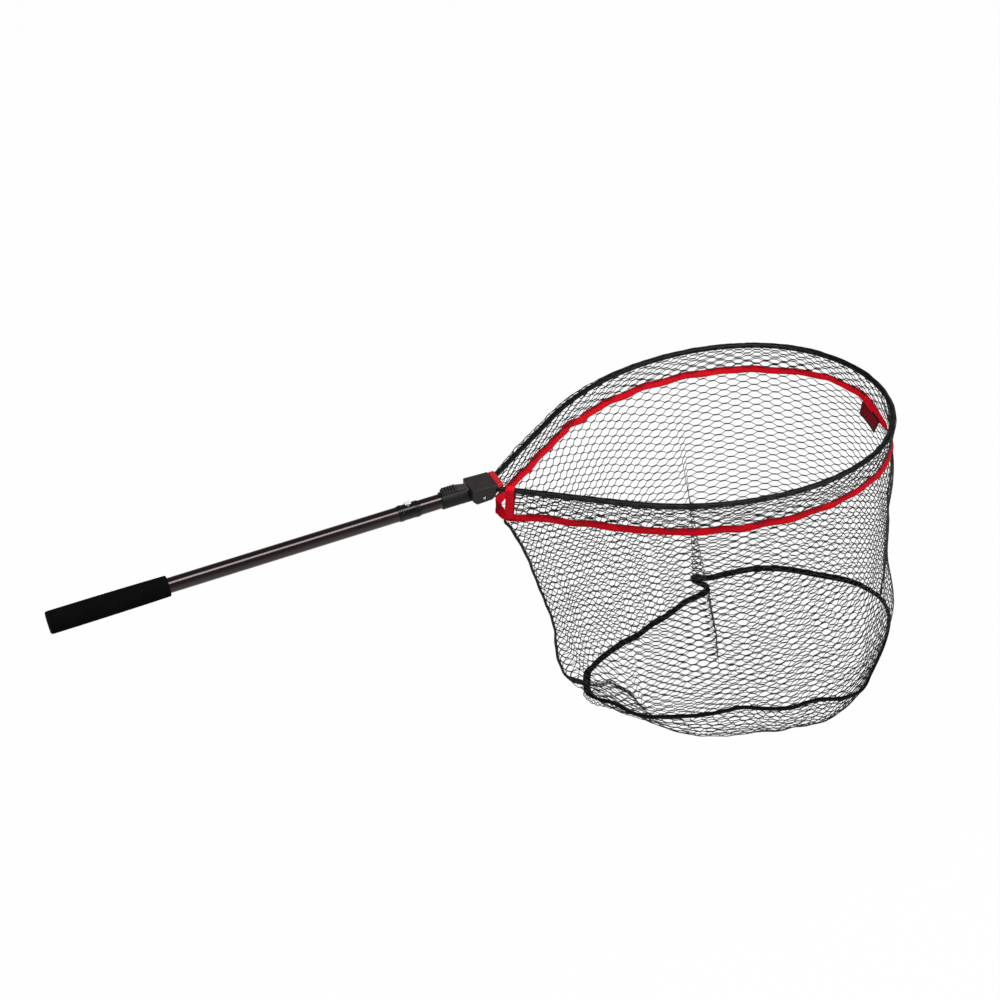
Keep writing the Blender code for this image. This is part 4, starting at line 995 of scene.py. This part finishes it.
band_middles = np.stack([band_x + band_out_x * band_stand, band_y + band_out_y * band_stand,
                         band_z + band_rise], -1)
lean_stops = (0, 0.012, 0.03, 0.17, 0.24, 0.42, 0.46, 0.530, 0.542, 0.556, 0.60, 0.68, 0.97, 1)
lean_turns = (-30, 15, 50, 50, 28, 28, 55, 50, -20, -45, -35, -14, -10, -30)
band_lean = np.radians(np.interp(band_t, lean_stops, lean_turns) + 9 * sway(band_t * 70, band_t * 21, 2.6))
band_out = np.stack([band_out_x * np.cos(band_lean), band_out_y * np.cos(band_lean), -np.sin(band_lean)], -1)
band_run = round_run(band_middles)
band_across = unit(np.cross(band_run, band_out))
band_out = np.cross(band_across, band_run)
width_stops = (0, 0.03, 0.36, 0.42, 0.46, 0.49, 0.515, 0.545, 0.58, 0.68, 0.74, 0.98, 1)
width_shares = (1.5, 1, 1, 0.86, 0.88, 1.02, 0.95, 0.55, 0.85, 0.9, 1, 1, 1.5)
band_across *= np.interp(band_t, width_stops, width_shares)[:, None]
band = tape("red_band_tape", band_middles, band_across, band_out, band_width, band_thickness,
            red_tape_look, closed=True)
bag_piece(band, "red_band")

# Strap loop: a wider red woven tape over the near arm beside the yoke, its two ends sewn to the band below.
# One length is folded over the rod, so that both legs lie flat against the sleeve.
strap_from_bend, strap_width, strap_thickness = 0.0125, 0.0124, 0.0011
strap_run = np.array([math.cos(arm_angle), -math.sin(arm_angle), 0])
strap_side = np.array([-math.sin(arm_angle), -math.cos(arm_angle), 0])
strap_up = np.array([0, 0, 1]) + 0.08 * strap_run
strap_spot = np.array([arm_x, -arm_y, 0]) + strap_from_bend * strap_run
over_arm = [(5.6 * math.cos(math.radians(a)), 5.2 * math.sin(math.radians(a))) for a in range(0, 181, 15)]
strap_line = np.array([(2.6, -48.5), (2.8, -40), (3.9, -28), (4.9, -12), *over_arm, (-5.0, -12), (-3.9, -28),
                       (-2.8, -40), (-2.6, -48.5)]) / 1000
strap_middles = strap_spot + strap_line[:, :1] * strap_side + strap_line[:, 1:] * strap_up
strap_across = np.tile(strap_run, (len(strap_middles), 1))
strap_out = np.cross(unit(np.gradient(strap_middles, axis=0)), strap_across)
# The strap's tape is a lighter copy of the band's red tape: painted light, so that the strap shows brighter
# than the band.
lit_strap_look = woven("red_tape_lit_copy", (0.30, 0.0016, 0.006), (0.84, 0.0050, 0.019), 0.07)
strap = tape("red_strap", strap_middles, strap_across, strap_out, strap_width, strap_thickness,
             lit_strap_look, closed=False)
bag_piece(strap, "strap_loop_near")

# Seams: the two side nets are sewn together at the rear and at the tip under a round black cord.
# The rear cord is the thicker, and ends in a knot on the binding.
seam_v = np.linspace(0, 1, 90)
for seam_t, radius, lift, name, node in ((0.0, 0.0021, 0.009, "rear_seam_cord", "rear_seam_tape"),
                                         (0.5, 0.0016, 0.0, "tip_seam_cord", "front_seam_tape")):
    line = wall_at(np.full(90, seam_t), seam_v, 0.0008)
    line[:, :2] += 0.0012 * np.stack([sway(seam_v * 30, seam_v * 3, 0.7), sway(seam_v * 26, seam_v, 1.4)], -1)
    line[:, 2] += lift * smooth(0.88, 1, seam_v)
    routes = [in_row(line)]
    if lift:
        routes += [in_row(line[-7:] + np.array([0, 0, aside])) for aside in (-0.0022, 0.0022)]
    bag_piece(stranded(name, routes, radius, sides=10, look=net_look), node)

# Binding: a black tape folded over the raw edges where the wall meets the base, twelve millimetres wide.
# It leans in with the wall, and its slack lies in the pleat on the far side.
black_tape_look = woven("black_woven_tape", (0.0012, 0.0012, 0.0013), (0.0045, 0.0045, 0.0048), 0.06)
bind_t = np.arange(560) / 560
bind_width, bind_thickness = 0.0122, 0.0038
bind_middles = base_line(bind_t)
bind_run = round_run(bind_middles)
_, _, bind_out_x, bind_out_y = rim_at(bind_t)
bind_side = unit(np.cross(bind_run, np.array([0, 0, 1.0])))
bind_side *= np.where((bind_side[:, 0] * bind_out_x + bind_side[:, 1] * bind_out_y) < 0, -1, 1)[:, None]
bind_stops = (0, 0.02, 0.035, 0.48, 0.53, 0.61, 0.67, 0.965, 0.98, 1)
bind_turns = (80, 70, 20, 20, 36, 36, 22, 22, 70, 80)
bind_lean = np.radians(np.interp(bind_t, bind_stops, bind_turns))[:, None]
bind_across = bind_side * np.sin(bind_lean) + np.array([0, 0, 1.0]) * np.cos(bind_lean)
bind_out = unit(np.cross(bind_across, bind_run))
narrow_stops = (0, 0.02, 0.04, 0.45, 0.5, 0.64, 0.68, 0.965, 0.985, 1)
narrow_shares = (1.0, 1.0, 0.93, 0.86, 0.62, 0.62, 0.8, 0.8, 1.0, 1.0)
bind_across *= np.interp(bind_t, narrow_stops, narrow_shares)[:, None]
binding = tape("black_binding", bind_middles, bind_across, bind_out, bind_width, bind_thickness,
               black_tape_look, closed=True)
bag_piece(binding, "base_binding")

# Base net: a panel of the same mesh, its level edges along the bag, sewn inside the binding and sagging
# below it: it drops steeply from the binding and is nearly flat in the middle.
base_middle = np.array([0.43, -0.09])
ring_t = np.arange(720) / 720
ring = base_at(ring_t) - base_middle
ring_angle = np.arctan2(ring[:, 1], ring[:, 0])
order = np.argsort(ring_angle)
ring_angle, ring_size = ring_angle[order], np.linalg.norm(ring, axis=1)[order] - 0.001
sag_depth, sag_power = 0.106, 3.9
sag_share = np.linspace(0, 1, 120)
sag_drop = sag_depth * (1 - sag_share**sag_power)
crease_stops, crease_middle = (0.09, 0.177, 0.218, 0.245), (-0.048, -0.017, -0.011, -0.009)
crest_stops, crest_height = (-0.318, -0.261, -0.222, -0.205), (0.085, 0.103, 0.085, 0.055)


def base_sag(x):
    """How deep the base hangs, less towards its narrow rear and a little less towards the tip."""
    return sag_depth * (0.88 + 0.12 * smooth(-0.25, -0.05, x)) * (1 - 0.12 * smooth(0, 0.12, x))


def gathered(off, taken):
    """How far cloth moves towards a crease that takes up so much slack on each of its sides."""
    beyond = np.maximum(np.abs(off) - 1.3 * taken, 0)
    return taken * np.clip(off / np.maximum(1.3 * taken, 1e-6), -1, 1) * np.exp(-beyond / 0.06)


def from_folds(flat):
    """How far places lie past the crease below the pleat, and above the crest of the rear crumple."""
    x, y = flat[:, 0], flat[:, 1]
    return x - np.interp(y, crease_stops, crease_middle), y - np.interp(x, crest_stops, crest_height)


def creased(flat):
    """Folds the panel's slack into the crease and the crumple."""
    x, y = flat[:, 0], flat[:, 1]
    past_crease, above_crest = from_folds(flat)
    slack = np.interp(y, crease_stops, (0.0, 0.010, 0.018, 0.022))
    crumple = 0.016 * smooth(-0.335, -0.31, x) * (1 - smooth(-0.215, -0.195, x))
    return np.column_stack([x - gathered(past_crease, slack), y - gathered(above_crest, crumple)])


def doubled(flat):
    """Where the slack lies in two layers: beside the crease, and under the crumple."""
    x, y = flat[:, 0], flat[:, 1]
    past_crease, above_crest = from_folds(flat)
    beside_crease = np.abs(past_crease + 0.012) < np.interp(y, (0.13, 0.19, 0.245), (0.0, 0.014, 0.030))
    under_crest = (above_crest < 0) & (above_crest > -0.06) & (x > -0.335) & (x < -0.205)
    return beside_crease | under_crest


def lay_base(flat):
    """Takes flat places on the panel, measured from its middle along the cloth, to the hanging base."""
    angle = np.arctan2(flat[:, 1], flat[:, 0])
    size = np.interp(angle, ring_angle, ring_size, period=math.tau)
    gone = np.linalg.norm(flat, axis=1)
    share = np.zeros(len(flat))
    inside = np.zeros(len(flat), bool)
    for i in range(len(flat)):
        run = np.concatenate([[0], np.cumsum(np.hypot(np.diff(sag_share) * size[i], np.diff(sag_drop)))])
        share[i] = np.interp(gone[i], run, sag_share)
        inside[i] = gone[i] <= run[-1]
    spot = base_middle + np.stack([np.cos(angle), np.sin(angle)], -1) * (share * size)[:, None]
    depth = base_sag(spot[:, 0] - base_middle[0])
    z = base_z - depth * (1 - share**sag_power) + 0.002 * sway(flat[:, 0] * 60, flat[:, 1] * 60, 2.7)
    return np.column_stack([spot, z]), inside


base_routes = []
base_column, base_row, base_play = 0.0187, 0.0113, 0.04
base_columns = math.ceil(0.42 / base_column)
base_rows = math.ceil(0.34 / base_row)
for strand in cells(-base_columns, base_columns, -base_rows, base_rows):
    column, row = strand[:, 0], strand[:, 1]
    flat = np.column_stack([(column + base_play * sway(column, row, 6.1)) * base_column,
                            (row + base_play * sway(column, row, 7.3)) * base_row])
    upper = flat + np.array([0.4 * base_column, 0.3 * base_row])
    for places, shown in ((flat, np.ones(len(flat), bool)), (upper, doubled(upper))):
        laid, inside = lay_base(creased(places))
        start = None
        for i in range(len(laid) + 1):
            kept = i < len(laid) and inside[i] and shown[i]
            if kept and start is None:
                start = max(i - 1, 0)
            if not kept and start is not None:
                if i + 1 - start > 2:
                    base_routes.append(in_row(laid[start:i + 1]))
                start = None
crease_y = np.linspace(0.130, 0.250, 60)
crease_x = np.interp(crease_y, crease_stops, crease_middle)
for aside in (-0.0011, 0.0, 0.0011):
    drift = aside * np.interp(crease_y, (0.130, 0.18, 0.25), (0.4, 0.8, 2.0))
    drift = drift + 0.0006 * sway(crease_y * 300, aside * 900, 1.2)
    laid, inside = lay_base(np.column_stack([crease_x + drift, crease_y]))
    base_routes.append(in_row(laid[inside]))
fringe_cells = 26
fringe_edge = np.column_stack([np.linspace(0, fringe_cells, 105), np.full(105, 2.0)])
for strand in cells(0, fringe_cells, 0, 2) + [fringe_edge]:
    fringe_t = 0.925 + 0.085 * strand[:, 0] / fringe_cells
    hung = np.interp(fringe_t, (0.925, 0.94, 0.97, 1.0, 1.01), (0.0005, 0.0036, 0.0046, 0.0056, 0.003))
    hung = hung * strand[:, 1] * (1 + 0.15 * sway(strand[:, 0], strand[:, 1], 3.3))
    _, _, out_x, out_y = rim_at(fringe_t)
    away = np.stack([out_x * 0.5, out_y * 0.5, -np.ones(len(hung))], -1)
    base_routes.append(in_row(base_line(fringe_t) + away * hung[:, None]))
base_mesh = stranded("mesh_base", base_routes, strand_radius, strand_sides, net_look)
bag_piece(base_mesh, "base_net")

# Label tag: a short piece of dark red woven tape with a black border, cut to length and sewn under the band
# at the tip, inside the bag.
tag_width, tag_height, tag_thickness = 0.0610, 0.0232, 0.0009
end_border, long_border, tag_thread = 0.0028, 0.0032, 0.0008
tag_look, tag_surface, tag_shade = finish("bordered_tag", {"Specular IOR Level": 0.08})
tag_place = tag_shade.coordinates("UV")
tag_along, tag_across = tag_place.axis("X"), tag_place.axis("Y")
tag_end = tag_shade.math("ABSOLUTE", tag_along - tag_width / 2)
tag_rim = tag_shade.math("ABSOLUTE", tag_across)
border = tag_shade.math("MAXIMUM", tag_shade.math("GREATER_THAN", tag_end, tag_width / 2 - end_border),
                        tag_shade.math("GREATER_THAN", tag_rim, tag_height / 2 - long_border))
two_tone(tag_shade, border, (0.17, 0.002, 0.007), (0.006, 0.006, 0.006)).into(tag_surface, "Base Color")
tag_ribs = tag_shade.math("SINE", tag_along * (math.tau / tag_thread))
tag_weave = tag_ribs * tag_shade.math("SINE", tag_across * (math.tau / tag_thread))
relief(tag_shade, tag_weave * 0.5 + 0.5, 0.4, 0.0002).into(tag_surface, "Normal")
(tag_weave * 0.1 + 0.6).into(tag_surface, "Roughness")
tag_share = np.linspace(0, 1, 27)[:, None]
tag_bow = 0.0016 * np.sin(math.pi * tag_share) * np.array([1.0, 0, 0])
tag_corners = np.array([[(0.6346, 0.0164, -0.044), (0.6284, -0.0442, -0.044)],
                        [(0.6304, 0.0161, -0.066), (0.6198, -0.0438, -0.066)]])
tag_top, tag_low = (start * (1 - tag_share) + end * tag_share for start, end in tag_corners)
tag_middles = (tag_top + tag_low) / 2 + tag_bow
tag_run = unit(np.gradient(tag_middles, axis=0))
tag_out = unit(np.cross(tag_run, unit(tag_low - tag_top)))
tag_down = np.cross(tag_out, tag_run)
tag = tape("bare_tag", tag_middles, tag_down, tag_out, tag_height, tag_thickness, tag_look, closed=False)
bag_piece(tag, "label_tag")
